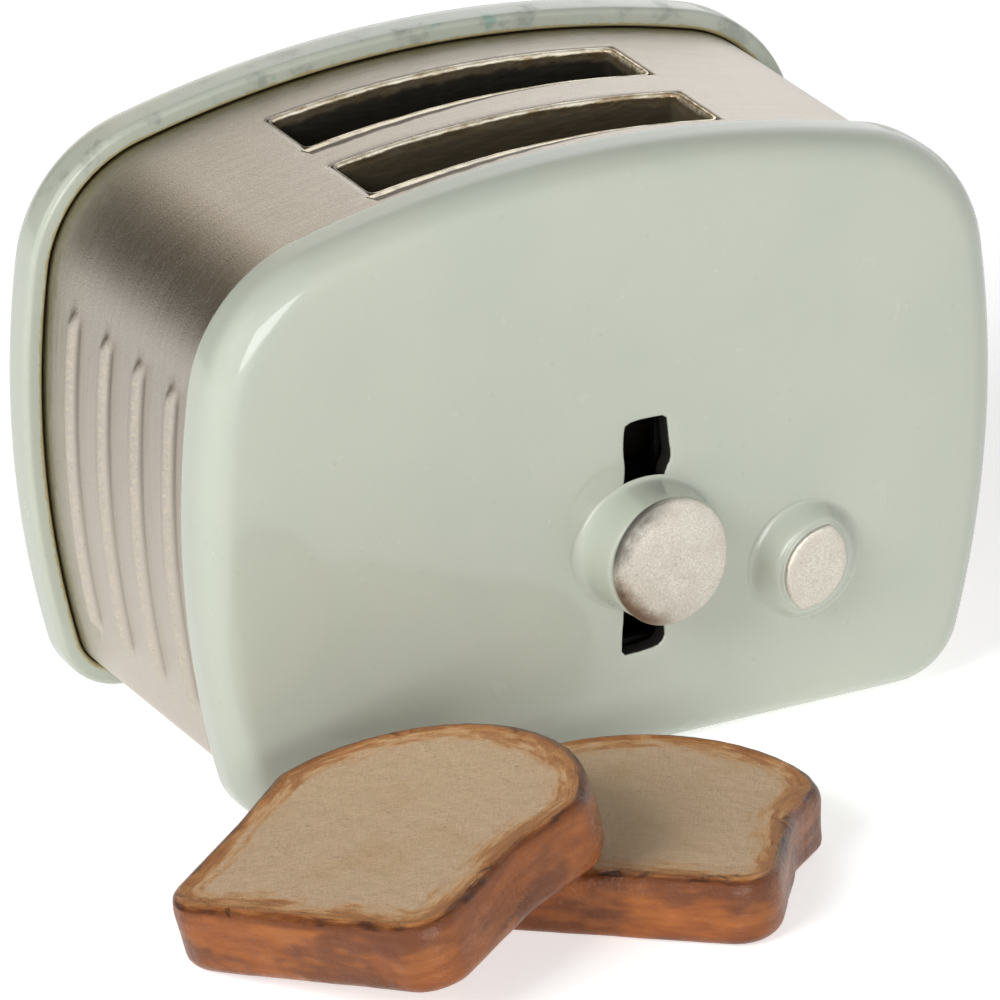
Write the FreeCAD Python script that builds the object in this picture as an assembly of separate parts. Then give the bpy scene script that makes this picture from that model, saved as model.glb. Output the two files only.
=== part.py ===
import FreeCAD, Part
import math
import os
from FreeCAD import Placement, Rotation, Vector

# Doll's-house toy toaster with two slices of bread. Millimetres.
# Origin: centre of the toaster's footprint on the table. X to the right, Y to the back, Z up.
# The front panel faces -Y.

# ---- body outline, seen from the front -------------------------------------------------------
BODY_WIDTH = 60.0
BODY_HEIGHT = 43.5
BODY_DEPTH = 31.6
ARCH_RADIUS = 83.5          # top
SIDE_RADIUS = 71.5          # bulging ends
SIDE_BULGE_HEIGHT = 21.9    # where the ends are widest
SHOULDER_RADIUS = 10.8
FOOT_RADIUS = 5.0

# ---- enamelled panels ------------------------------------------------------------------------
PANEL_DEPTH = 4.4
PANEL_WALL = 1.3            # round the rim
PANEL_FACE = 1.2
PANEL_EDGE_RADIUS = 2.2
CROWN_WIDTH = 4.4           # the face falls away over this width along its edge
CROWN_RISE = 0.35

# ---- nickel band -----------------------------------------------------------------------------
BAND_INSET = 1.4            # how far it lies inside the panels' outline
BAND_SHEET = 0.7
BAND_ENTRY = 1.2            # how deep its edges stand in the panels
SEAM_GAP = 0.3
RIB_PITCH = 4.8
RIB_COUNT = 4
RIB_WIDTH = 1.7
RIB_BOTTOM = 7.0
RIB_TOP = 30.0
RIB_RISE = 0.5
RIB_ROUNDING = 0.9          # share of the rise that is rounded over

# ---- fits ------------------------------------------------------------------------------------
RUNNING_GAP = 0.05          # radial, shaft in bush
ASSEMBLY_GAP = 0.1          # between pieces that are screwed or hooked together
SLIDING_GAP = 0.2           # between a moving piece and what it passes

# ---- base ------------------------------------------------------------------------------------
BASE_END_MARGIN = 3.0       # from the screws to the plate's ends
BASE_END_RADIUS = 3.0
LUG_X = 19.5
LUG_WIDTH = 5.0
LUG_HEIGHT = 4.6
LUG_REACH = 7.0
BASE_SCREW_INSET = 5.4      # from the panel's inner face to the screw
BASE_SCREW_RADIUS = 0.8
BASE_SCREW_HEAD = 1.45
BASE_SCREW_LENGTH = 5.0
RECESS_SIZE = 1.6           # cross recess in the screw's head
RECESS_BLADE = 0.4
RECESS_DEPTH = 0.4
HOOK_X = 16.5
HOOK_WIDTH = 5.0
HOOK_SHEET = 1.2
HOOK_REACH = 4.6

# ---- bread wells -----------------------------------------------------------------------------
WELL_X = -0.4               # both wells sit a little left of the middle
WELL_SPACING = 3.4          # between the two wells
WELL_ARM_GAP = 0.8          # from the lift arm's pad to the front well
SLOT_LENGTH = 25.8
SLOT_CORNER = 0.5
WELL_SHEET = 0.3
MOUTH_RADIUS = 0.25         # the sheet's top edge is rounded over towards the slot
MOUTH_GAP = 0.05            # to the edge of the band's opening

# ---- lever -----------------------------------------------------------------------------------
LEVER_X = 2.5
LEVER_Z = 15.6
LEVER_SLOT_WIDTH = 3.1
LEVER_SLOT_BOTTOM = 8.1
LEVER_SLOT_TOP = 24.4
STEM_SLOT_GAP = 0.35        # each side of the stem in the panel's slot
STEM_HEIGHT = 3.0
STEM_TENON = 1.6            # how deep it stands in the slider
KNOB_FOOT_RADIUS = 5.35
KNOB_RADIUS = 4.5
KNOB_FOOT_EDGE = 0.15       # bevel round the foot
KNOB_FLARE_HEIGHT = 1.6
KNOB_FLARE_FULLNESS = 0.35  # where the flare is half way up, between the knob and its foot
KNOB_HEIGHT = 3.2           # from the panel to the cap
KNOB_SOCKET_TOP = 1.6       # end of the stem inside the knob
KNOB_WEB = 0.3              # between the stem's end and the screw's head
CAP_BORDER = 0.05
CAP_THICKNESS = 0.6
CAP_DOME = 0.25
KNOB_SCREW_RADIUS = 0.6
KNOB_SCREW_HEAD = 1.2
KNOB_SCREW_HEAD_HEIGHT = 0.3
KNOB_SCREW_LENGTH = 4.4

# ---- guide behind the front panel ------------------------------------------------------------
GUIDE_SHEET = 0.6
GUIDE_BOSS = 1.2            # height of the bosses that carry the frame
GUIDE_EDGE = 0.2            # from the screws' heads to the frame's sides
GUIDE_END_GAP = 2.0         # spare travel above and below the slider
GUIDE_WINDOW_GAP = 0.45     # each side of the slot in the panel
FLANGE_MARGIN = 1.2         # round the rods
GUIDE_SCREW_INSET = 2.6     # from the frame's ends
GUIDE_SCREW_RADIUS = 0.6
GUIDE_SCREW_HEAD = 1.05
GUIDE_SCREW_HEAD_HEIGHT = 0.6
GUIDE_BOSS_RADIUS = 1.3
ROD_X = 5.0                 # from the lever's middle
ROD_RADIUS = 0.6
ROD_OVERHANG = 0.3
BUSH_WALL = 0.45
BUSH_FLANGE = 0.4
SLIDER_WALL = 0.4           # round the bushes
SLIDER_HEIGHT = 6.0
SLIDER_FRONT_GAP = 0.8      # room for the leaf spring
SPRING_X = 3.3
SPRING_WIDTH = 1.4
SPRING_SHEET = 0.2
SPRING_LENGTH = 5.0

# ---- bread lift ------------------------------------------------------------------------------
TRAY_DROP = 1.8             # below the lever's middle
TRAY_SHEET = 0.6
TRAY_END_GAP = 2.0          # to the ends of the well
TRAY_SIDE_GAP = 0.45
TRAY_CORNER = 0.8
ARM_WIDTH = 1.4
ARM_HEIGHT = 1.6
ARM_OVERHANG = 1.4          # past the middle of the rear tray
ARM_SLOT_GAP = 0.4
ARM_PAD_WIDTH = 5.2
ARM_PAD_HEIGHT = 5.0
ARM_PAD_SHEET = 0.6
RIVET_RADIUS = 0.4
RIVET_HEAD = 0.75
RIVET_HEAD_RISE = 0.25
PAD_RIVET_X = 1.7
PAD_RIVET_LENGTH = 1.2

# ---- dial ------------------------------------------------------------------------------------
DIAL_X = 14.7
DIAL_Z = 11.75
DIAL_FOOT_RADIUS = 3.9
DIAL_NECK_RADIUS = 3.3
DIAL_FOOT_HEIGHT = 0.3
DIAL_BASE_HEIGHT = 0.9
DIAL_FLARE_RISE = 0.1       # how far the flare stands out from a plain cone
DIAL_GRIP_HEIGHT = 1.45
LENS_WIDTH = 4.5
LENS_TIP_RADIUS = 0.5
LENS_BORDER = 0.25
LENS_TURN = 20.7            # degrees from upright
DIAL_FACE_SHEET = 0.3
DIAL_SHAFT_RADIUS = 1.0
DIAL_SHAFT_SEAT = 1.0       # end of the shaft inside the knob
DIAL_BUSH_WALL = 0.5
DIAL_BUSH_FLANGE = 0.4
DIAL_WASHER_SHEET = 0.25
DIAL_CLIP_SHEET = 0.3
DIAL_GROOVE = 0.25
DIAL_SHAFT_END = 0.5        # past the clip

# ---- slices of bread -------------------------------------------------------------------------
CRUST_RADIUS = 0.8
SLICE_FOOT_RADIUS = 2.4
SLICE_WAIST_RADIUS = 5.0
SLICE_EAR_RADIUS = 2.1
SLICE_SHOULDER_RADIUS = 3.5
SHOULDER_INSET = 1.2        # from the ear's tip in to the shoulder

FLAT_FOOT_WIDTH = 20.9
FLAT_WAIST_WIDTH = 20.2
FLAT_EAR_WIDTH = 22.4
FLAT_HEIGHT = 22.8
FLAT_WAIST_UP = 11.2
FLAT_EAR_UP = 15.6
FLAT_SHOULDER_UP = 18.0
FLAT_THICKNESS = 4.85
FLAT_X = -12.99             # middle of its straight edge
FLAT_Y = -40.37
FLAT_TURN = -37.8

LEANING_FOOT_WIDTH = 22.5
LEANING_WAIST_WIDTH = 22.2
LEANING_EAR_WIDTH = 25.0
LEANING_HEIGHT = 25.3
LEANING_WAIST_UP = 10.8
LEANING_EAR_UP = 16.8
LEANING_SHOULDER_UP = 19.3
LEANING_THICKNESS = 5.15
LEANING_X = -34.95
LEANING_Y = -39.0
LEANING_TURN = -60.6
LEANING_PITCH = 10.2        # straight edge down
LEANING_GAP = 0.06          # what it keeps from the slice it leans on
STEEPEST_LEAN = 40.0
LEAN_STEP = 0.02
TABLE_SIZE = 400.0
TABLE_DROP = 100.0          # how far below everything the table is put to measure from
CLOSE = 0.01                # two measures that differ by less are the same

# ---- worked out ------------------------------------------------------------------------------
FACE_Y = -BODY_DEPTH / 2
PANEL_INNER_Y = FACE_Y + PANEL_FACE
PANEL_RIM_Y = FACE_Y + PANEL_DEPTH
BAND_EDGE_Y = PANEL_RIM_Y - BAND_ENTRY
BAND_FLOOR = BAND_INSET + BAND_SHEET
BASE_SCREW_Y = PANEL_INNER_Y + BASE_SCREW_INSET
LEVER_TRAVEL_UP = LEVER_SLOT_TOP - LEVER_Z - STEM_HEIGHT / 2
LEVER_TRAVEL_DOWN = LEVER_Z - STEM_HEIGHT / 2 - LEVER_SLOT_BOTTOM
CAP_RADIUS = KNOB_RADIUS - CAP_BORDER
STEM_WIDTH = LEVER_SLOT_WIDTH - 2 * STEM_SLOT_GAP
KNOB_SCREW_SEAT_Y = FACE_Y - KNOB_SOCKET_TOP - KNOB_WEB
BUSH_BORE = ROD_RADIUS + RUNNING_GAP
BUSH_RADIUS = BUSH_BORE + BUSH_WALL
SLIDER_HALF_WIDTH = ROD_X + BUSH_RADIUS + SLIDER_WALL
SLIDER_DEPTH = 2 * (BUSH_RADIUS + SLIDER_WALL)
SLIDER_BOTTOM = LEVER_Z - SLIDER_HEIGHT / 2
SLIDER_TOP = LEVER_Z + SLIDER_HEIGHT / 2
GUIDE_Y = PANEL_INNER_Y + GUIDE_BOSS
GUIDE_BACK_Y = GUIDE_Y + GUIDE_SHEET
SLIDER_Y = GUIDE_BACK_Y + SLIDER_FRONT_GAP
ROD_Y = SLIDER_Y + SLIDER_DEPTH / 2
SLIDER_BACK_Y = SLIDER_Y + SLIDER_DEPTH
ARM_PAD_BACK_Y = SLIDER_BACK_Y + ARM_PAD_SHEET
GUIDE_SCREW_X = SLIDER_HALF_WIDTH + SLIDING_GAP + GUIDE_SCREW_HEAD
GUIDE_HALF_WIDTH = GUIDE_SCREW_X + GUIDE_SCREW_HEAD + GUIDE_EDGE
GUIDE_BOTTOM = SLIDER_BOTTOM - LEVER_TRAVEL_DOWN - GUIDE_END_GAP - GUIDE_SHEET
GUIDE_TOP = SLIDER_TOP + BUSH_FLANGE + LEVER_TRAVEL_UP + GUIDE_END_GAP + GUIDE_SHEET
SLOT_WIDTH = -ARM_PAD_BACK_Y - WELL_ARM_GAP - 2 * WELL_SHEET - WELL_SPACING / 2
WELL_Y = WELL_SPACING / 2 + WELL_SHEET + SLOT_WIDTH / 2
TRAY_TOP = LEVER_Z - TRAY_DROP
TRAY_LENGTH = SLOT_LENGTH - 2 * TRAY_END_GAP
TRAY_WIDTH = SLOT_WIDTH - 2 * TRAY_SIDE_GAP
ARM_TOP = TRAY_TOP - TRAY_SHEET
ARM_BOTTOM = ARM_TOP - ARM_HEIGHT
DIAL_BORE = DIAL_SHAFT_RADIUS + RUNNING_GAP
DIAL_BUSH_RADIUS = DIAL_BORE + DIAL_BUSH_WALL
DIAL_FLANGE_RADIUS = DIAL_BUSH_RADIUS + DIAL_BUSH_WALL
DIAL_WASHER_Y = PANEL_INNER_Y + DIAL_BUSH_FLANGE + RUNNING_GAP
DIAL_CLIP_Y = DIAL_WASHER_Y + DIAL_WASHER_SHEET + RUNNING_GAP
LENS_LENGTH = 2 * (DIAL_NECK_RADIUS - LENS_BORDER)
UP = Vector(0, 0, 1)
BACK = Vector(0, 1, 0)


# ---- small helpers ---------------------------------------------------------------------------
def block(x_low, x_high, y_low, y_high, z_low, z_high):
    return Part.makeBox(x_high - x_low, y_high - y_low, z_high - z_low, Vector(x_low, y_low, z_low))


def post(radius, x, z, y_low, y_high):
    """Round bar along Y."""
    return Part.makeCylinder(radius, y_high - y_low, Vector(x, y_low, z), BACK)


def column(radius, x, y, z_low, z_high):
    """Round bar along Z."""
    return Part.makeCylinder(radius, z_high - z_low, Vector(x, y, z_low), UP)


def turned(profile, x, z):
    """Solid of revolution about a line along Y. The profile holds (radius, y) points."""
    points = [Vector(radius, y, 0) for radius, y in profile]
    face = Part.Face(Part.makePolygon(points + points[:1]))
    solid = face.revolve(Vector(), BACK, 360)
    solid.translate(Vector(x, 0, z))
    return solid


def rounded_block(length, width, corner, x, y, z_low, z_high):
    """Upright block with rounded corners, centred on x and y."""
    solid = block(x - length / 2, x + length / 2, y - width / 2, y + width / 2, z_low, z_high)
    upright = [e for e in solid.Edges if abs(e.tangentAt(e.FirstParameter).z) > 0.99]
    return solid.makeFillet(corner, upright)


def arc_through(centre, radius, start, end):
    """Arc in the XZ plane from one angle to another, in degrees."""
    angles = (start, (start + end) / 2, end)
    points = [
        centre + Vector(math.cos(math.radians(a)), 0, math.sin(math.radians(a))) * radius
        for a in angles
    ]
    return Part.Arc(*points).toShape()


def angle_of(vector):
    return math.degrees(math.atan2(vector.z, vector.x))


def join(solids):
    """Several separate solids in one node."""
    return Part.makeCompound(solids)


def mirrored(shape):
    """The same piece on the other side of the toaster's middle, front to back."""
    return shape.mirror(Vector(), BACK)


# ---- body outline ----------------------------------------------------------------------------
def outline(inset, y):
    """Closed outline of the body, parallel to the outer one at a distance inside it."""
    arch = Vector(0, y, BODY_HEIGHT - ARCH_RADIUS)
    side = Vector(BODY_WIDTH / 2 - SIDE_RADIUS, y, SIDE_BULGE_HEIGHT)
    to_side = side - arch
    from_arch = ARCH_RADIUS - SHOULDER_RADIUS
    from_side = SIDE_RADIUS - SHOULDER_RADIUS
    along = (from_arch ** 2 - from_side ** 2 + to_side.Length ** 2) / (2 * to_side.Length)
    across = math.sqrt(from_arch ** 2 - along ** 2)
    unit = to_side / to_side.Length
    shoulder = arch + unit * along + Vector(unit.z, 0, -unit.x) * across
    foot_rise = SIDE_BULGE_HEIGHT - FOOT_RADIUS
    foot_x = side.x + math.sqrt((SIDE_RADIUS - FOOT_RADIUS) ** 2 - foot_rise ** 2)
    foot = Vector(foot_x, y, FOOT_RADIUS)

    arch_angle = angle_of(shoulder - arch)
    side_top_angle = angle_of(shoulder - side)
    side_low_angle = angle_of(foot - side)
    left_shoulder = Vector(-shoulder.x, y, shoulder.z)
    left_side = Vector(-side.x, y, side.z)
    left_foot = Vector(-foot.x, y, foot.z)
    floor_right = Vector(foot.x, y, inset)
    floor_left = Vector(-foot.x, y, inset)
    edges = [
        arc_through(arch, ARCH_RADIUS - inset, 180 - arch_angle, arch_angle),
        arc_through(shoulder, SHOULDER_RADIUS - inset, arch_angle, side_top_angle),
        arc_through(side, SIDE_RADIUS - inset, side_top_angle, side_low_angle),
        arc_through(foot, FOOT_RADIUS - inset, side_low_angle, -90),
        Part.makeLine(floor_right, floor_left),
        arc_through(left_foot, FOOT_RADIUS - inset, -90, -180 - side_low_angle),
        arc_through(left_side, SIDE_RADIUS - inset, 180 - side_low_angle, 180 - side_top_angle),
        arc_through(left_shoulder, SHOULDER_RADIUS - inset, 180 - side_top_angle, 180 - arch_angle),
    ]
    return Part.Wire(edges)


def slab(inset, y_low, y_high):
    return Part.Face(outline(inset, y_low)).extrude(Vector(0, y_high - y_low, 0))


def arch_disc(radius_change, y_low, y_high):
    """Everything under the arch of the top, moved out or in by a distance."""
    radius = ARCH_RADIUS + radius_change
    return post(radius, 0, BODY_HEIGHT - ARCH_RADIUS, y_low, y_high)


# ---- panels ----------------------------------------------------------------------------------
def panel():
    """Enamelled pan with a crowned face and a rounded edge, open towards the back."""
    edge_y = FACE_Y + CROWN_RISE
    crown = Part.makeLoft([outline(CROWN_WIDTH, FACE_Y), outline(0, edge_y)], True, True)
    blank = slab(0, edge_y, PANEL_RIM_Y).fuse(crown).removeSplitter()
    rounded = [
        e for e in blank.Edges
        if abs(e.BoundBox.YMax - edge_y) < CLOSE and abs(e.BoundBox.YMin - edge_y) < CLOSE
    ]
    pan = blank.makeFillet(PANEL_EDGE_RADIUS, rounded)
    return pan.cut(slab(PANEL_WALL, PANEL_INNER_Y, PANEL_RIM_Y))


def base_lug(x):
    """Lug inside the bottom of a panel that takes a base screw."""
    low = BAND_FLOOR + ASSEMBLY_GAP
    lug = block(
        x - LUG_WIDTH / 2, x + LUG_WIDTH / 2, PANEL_INNER_Y, PANEL_INNER_Y + LUG_REACH, low, low + LUG_HEIGHT
    )
    return lug.cut(column(BASE_SCREW_RADIUS, x, BASE_SCREW_Y, low, low + LUG_HEIGHT - BAND_SHEET))


def top_hook(x):
    """Tongue inside the top of a panel that reaches in under the band."""
    gap = BAND_FLOOR + ASSEMBLY_GAP
    high = PANEL_INNER_Y + HOOK_REACH
    ring = slab(gap, PANEL_INNER_Y, high).cut(slab(gap + HOOK_SHEET, PANEL_INNER_Y, high))
    window = block(
        x - HOOK_WIDTH / 2, x + HOOK_WIDTH / 2, PANEL_INNER_Y, high, BODY_HEIGHT / 2, BODY_HEIGHT
    )
    return ring.common(window)


def panel_with_fixings():
    extras = [base_lug(x) for x in (-LUG_X, LUG_X)] + [top_hook(x) for x in (-HOOK_X, HOOK_X)]
    return panel().fuse(extras)


def guide_screw_places():
    low = GUIDE_BOTTOM + GUIDE_SCREW_INSET
    high = GUIDE_TOP - GUIDE_SCREW_INSET
    return [(LEVER_X + side * GUIDE_SCREW_X, z) for side in (-1, 1) for z in (low, high)]


def front_panel():
    bosses = [post(GUIDE_BOSS_RADIUS, x, z, PANEL_INNER_Y, GUIDE_Y) for x, z in guide_screw_places()]
    bores = [post(GUIDE_SCREW_RADIUS, x, z, PANEL_INNER_Y, GUIDE_Y) for x, z in guide_screw_places()]
    lever_slot = block(
        LEVER_X - LEVER_SLOT_WIDTH / 2, LEVER_X + LEVER_SLOT_WIDTH / 2,
        FACE_Y, PANEL_INNER_Y, LEVER_SLOT_BOTTOM, LEVER_SLOT_TOP,
    )
    dial_hole = post(DIAL_BUSH_RADIUS, DIAL_X, DIAL_Z, FACE_Y, PANEL_INNER_Y)
    return panel_with_fixings().fuse(bosses).cut(bores + [lever_slot, dial_hole])


def back_panel():
    return mirrored(panel_with_fixings())


# ---- band ------------------------------------------------------------------------------------
def rib(y):
    """Upright embossed rib with round ends, on both ends of the body."""
    low = RIB_BOTTOM + RIB_WIDTH / 2
    high = RIB_TOP - RIB_WIDTH / 2
    half = BODY_WIDTH / 2 + RIB_RISE
    radius = RIB_WIDTH / 2
    bar = block(-half, half, y - radius, y + radius, low, high)
    ends = [Part.makeCylinder(radius, 2 * half, Vector(-half, y, z), Vector(1, 0, 0)) for z in (low, high)]
    crest = slab(BAND_INSET - RIB_RISE, y - radius, y + radius)
    core = slab(BAND_INSET + BAND_SHEET / 2, y - radius, y + radius)
    return bar.fuse(ends).common(crest).cut(core).removeSplitter()


def rounded_rib(y):
    """The rib with its crest rounded over, as pressed sheet."""
    shape = rib(y)
    limit = BODY_WIDTH / 2 - BAND_INSET - RIB_RISE
    crest_edges = [
        e for e in shape.Edges
        if min(abs(v.X) for v in e.Vertexes) > limit - 2 * RIB_RISE and on_crest(e)
    ]
    return shape.makeFillet(RIB_RISE * RIB_ROUNDING, crest_edges)


def on_crest(edge):
    """Whether an edge lies on the rib's outer surface."""
    crest = outline(BAND_INSET - RIB_RISE, 0)
    middle = edge.valueAt((edge.FirstParameter + edge.LastParameter) / 2)
    return crest.distToShape(Part.Vertex(Vector(middle.x, 0, middle.z)))[0] < CLOSE


def rib_places():
    return [(i - (RIB_COUNT - 1) / 2) * RIB_PITCH for i in range(RIB_COUNT)]


def base_screw_places():
    return [(x, y) for x in (-LUG_X, LUG_X) for y in (BASE_SCREW_Y, -BASE_SCREW_Y)]


def body_band():
    band = slab(BAND_INSET, BAND_EDGE_Y, -BAND_EDGE_Y).cut(slab(BAND_FLOOR, BAND_EDGE_Y, -BAND_EDGE_Y))
    band = band.fuse([rounded_rib(y) for y in rib_places()])
    wall = WELL_SHEET + MOUTH_GAP
    slots = [well_block(wall, y, BODY_HEIGHT / 2, BODY_HEIGHT) for y in (-WELL_Y, WELL_Y)]
    seam = block(-SEAM_GAP / 2, SEAM_GAP / 2, BAND_EDGE_Y, -BAND_EDGE_Y, 0, BAND_FLOOR)
    holes = [
        column(BASE_SCREW_RADIUS + ASSEMBLY_GAP, x, y, 0, BAND_FLOOR) for x, y in base_screw_places()
    ]
    return band.cut(slots + holes + [seam])


# ---- base ------------------------------------------------------------------------------------
def countersink(x, y, gap):
    """Cone and shank of a base screw, or of its hole with a gap all round."""
    depth = BASE_SCREW_HEAD - BASE_SCREW_RADIUS
    cone = Part.makeCone(BASE_SCREW_HEAD + gap, BASE_SCREW_RADIUS + gap, depth, Vector(x, y, 0), UP)
    return cone.fuse(column(BASE_SCREW_RADIUS + gap, x, y, 0, BASE_SCREW_LENGTH))


def base_plate():
    """Fills the step under the band, so that its underside is level with the panels' lower edges."""
    width = -2 * (PANEL_RIM_Y + ASSEMBLY_GAP)
    length = 2 * (LUG_X + BASE_END_MARGIN)
    plate = rounded_block(length, width, BASE_END_RADIUS, 0, 0, 0, BAND_INSET)
    return plate.cut([countersink(x, y, ASSEMBLY_GAP / 2) for x, y in base_screw_places()])


def cross_recess(x, y):
    """Cross slot in the underside of a screw head."""
    half = RECESS_SIZE / 2
    blade = RECESS_BLADE / 2
    return [
        block(x - half, x + half, y - blade, y + blade, 0, RECESS_DEPTH),
        block(x - blade, x + blade, y - half, y + half, 0, RECESS_DEPTH),
    ]


def base_screws():
    return join([countersink(x, y, 0).cut(cross_recess(x, y)) for x, y in base_screw_places()])


# ---- bread wells -----------------------------------------------------------------------------
def well_block(wall, y, z_low, z_high):
    """Upright block of the slot's shape, larger by a wall all round."""
    return rounded_block(
        SLOT_LENGTH + 2 * wall, SLOT_WIDTH + 2 * wall, SLOT_CORNER + wall, WELL_X, y, z_low, z_high
    )


def bread_well(y):
    """Sheet liner of one slot. It stands on the band's floor and ends level with the band's top."""
    y_low = y - SLOT_WIDTH
    y_high = y + SLOT_WIDTH
    inside = well_block(0, y, BAND_FLOOR + WELL_SHEET, BODY_HEIGHT)
    well = well_block(WELL_SHEET, y, BAND_FLOOR, BODY_HEIGHT).cut(inside)
    well = well.common(arch_disc(-BAND_INSET, y_low, y_high))
    mouth = [e for e in well.Edges if on_mouth(e, y)]
    well = well.makeFillet(MOUTH_RADIUS, mouth)
    arm_slot = block(
        LEVER_X - ARM_WIDTH / 2 - ARM_SLOT_GAP, LEVER_X + ARM_WIDTH / 2 + ARM_SLOT_GAP, y_low, y_high,
        ARM_BOTTOM - LEVER_TRAVEL_DOWN - ARM_SLOT_GAP, ARM_TOP + LEVER_TRAVEL_UP + ARM_SLOT_GAP,
    )
    return well.cut(arm_slot)


def on_mouth(edge, y):
    """Whether an edge runs round the inside of the slot at its top."""
    at = edge.valueAt((edge.FirstParameter + edge.LastParameter) / 2)
    arch_z = BODY_HEIGHT - ARCH_RADIUS + math.sqrt((ARCH_RADIUS - BAND_INSET) ** 2 - at.x ** 2)
    within = abs(at.x - WELL_X) < SLOT_LENGTH / 2 + CLOSE and abs(at.y - y) < SLOT_WIDTH / 2 + CLOSE
    return within and abs(at.z - arch_z) < CLOSE


# ---- lever -----------------------------------------------------------------------------------
def lever_knob():
    """Round knob that flares out towards the panel."""
    foot = FACE_Y - SLIDING_GAP
    flare = FACE_Y - KNOB_FLARE_HEIGHT
    front = FACE_Y - KNOB_HEIGHT
    middle_radius = KNOB_RADIUS + KNOB_FLARE_FULLNESS * (KNOB_FOOT_RADIUS - KNOB_RADIUS)
    profile = [
        (0, foot),
        (KNOB_FOOT_RADIUS, foot),
        (KNOB_FOOT_RADIUS - KNOB_FOOT_EDGE, foot - KNOB_FOOT_EDGE),
        (middle_radius, (foot + flare) / 2),
        (KNOB_RADIUS, flare),
        (KNOB_RADIUS, front),
        (0, front),
    ]
    knob = turned(profile, LEVER_X, LEVER_Z)
    socket = stem_block(FACE_Y - KNOB_SOCKET_TOP, FACE_Y, ASSEMBLY_GAP / 2)
    head_room = post(KNOB_SCREW_HEAD + ASSEMBLY_GAP, LEVER_X, LEVER_Z, front, KNOB_SCREW_SEAT_Y)
    bore = post(KNOB_SCREW_RADIUS + ASSEMBLY_GAP / 2, LEVER_X, LEVER_Z, front, FACE_Y)
    return knob.cut([socket, head_room, bore])


def stem_block(y_low, y_high, gap):
    half_width = STEM_WIDTH / 2 + gap
    half_height = STEM_HEIGHT / 2 + gap
    return block(
        LEVER_X - half_width, LEVER_X + half_width, y_low, y_high,
        LEVER_Z - half_height, LEVER_Z + half_height,
    )


def lever_knob_cap():
    back = FACE_Y - KNOB_HEIGHT
    edge = back - CAP_THICKNESS
    sphere_radius = (CAP_RADIUS ** 2 + CAP_DOME ** 2) / (2 * CAP_DOME)
    disc = post(CAP_RADIUS, LEVER_X, LEVER_Z, edge - CAP_DOME, back)
    dome = Part.makeSphere(sphere_radius, Vector(LEVER_X, edge - CAP_DOME + sphere_radius, LEVER_Z))
    cap = disc.common(dome)
    rim = [e for e in cap.Edges if abs(e.BoundBox.YMin - edge) < CLOSE and e.BoundBox.XLength > CAP_RADIUS]
    return cap.makeFillet(CAP_DOME, rim)


def lever_stem():
    back = SLIDER_Y + STEM_TENON
    stem = stem_block(FACE_Y - KNOB_SOCKET_TOP, back, 0)
    return stem.cut(post(KNOB_SCREW_RADIUS, LEVER_X, LEVER_Z, FACE_Y - KNOB_SOCKET_TOP, back))


def knob_screw():
    seat = KNOB_SCREW_SEAT_Y
    head = post(KNOB_SCREW_HEAD, LEVER_X, LEVER_Z, seat - KNOB_SCREW_HEAD_HEIGHT, seat)
    return head.fuse(post(KNOB_SCREW_RADIUS, LEVER_X, LEVER_Z, seat, seat + KNOB_SCREW_LENGTH))


# ---- guide -----------------------------------------------------------------------------------
def rod_places():
    return [LEVER_X - ROD_X, LEVER_X + ROD_X]


def guide_frame():
    """Pressed frame: upright plate with a window, and two flanges that hold the rods."""
    left = LEVER_X - GUIDE_HALF_WIDTH
    right = LEVER_X + GUIDE_HALF_WIDTH
    plate = block(left, right, GUIDE_Y, GUIDE_BACK_Y, GUIDE_BOTTOM, GUIDE_TOP)
    flange_half = ROD_X + ROD_RADIUS + FLANGE_MARGIN
    flange_back = ROD_Y + ROD_RADIUS + FLANGE_MARGIN
    flanges = [
        block(LEVER_X - flange_half, LEVER_X + flange_half, GUIDE_Y, flange_back, z, z + GUIDE_SHEET)
        for z in (GUIDE_BOTTOM, GUIDE_TOP - GUIDE_SHEET)
    ]
    window_half = LEVER_SLOT_WIDTH / 2 + GUIDE_WINDOW_GAP
    window = block(
        LEVER_X - window_half, LEVER_X + window_half, GUIDE_Y, GUIDE_BACK_Y,
        LEVER_SLOT_BOTTOM - ARM_SLOT_GAP, LEVER_SLOT_TOP + ARM_SLOT_GAP,
    )
    hole_radius = GUIDE_SCREW_RADIUS + ASSEMBLY_GAP / 2
    screw_holes = [post(hole_radius, x, z, GUIDE_Y, GUIDE_BACK_Y) for x, z in guide_screw_places()]
    rod_holes = [column(ROD_RADIUS, x, ROD_Y, GUIDE_BOTTOM, GUIDE_TOP) for x in rod_places()]
    return plate.fuse(flanges).removeSplitter().cut([window] + screw_holes + rod_holes)


def guide_screws():
    return join([
        post(GUIDE_SCREW_HEAD, x, z, GUIDE_BACK_Y, GUIDE_BACK_Y + GUIDE_SCREW_HEAD_HEIGHT).fuse(
            post(GUIDE_SCREW_RADIUS, x, z, PANEL_INNER_Y + ASSEMBLY_GAP, GUIDE_BACK_Y)
        )
        for x, z in guide_screw_places()
    ])


def guide_rods():
    return join([
        column(ROD_RADIUS, x, ROD_Y, GUIDE_BOTTOM - ROD_OVERHANG, GUIDE_TOP + ROD_OVERHANG)
        for x in rod_places()
    ])


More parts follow.
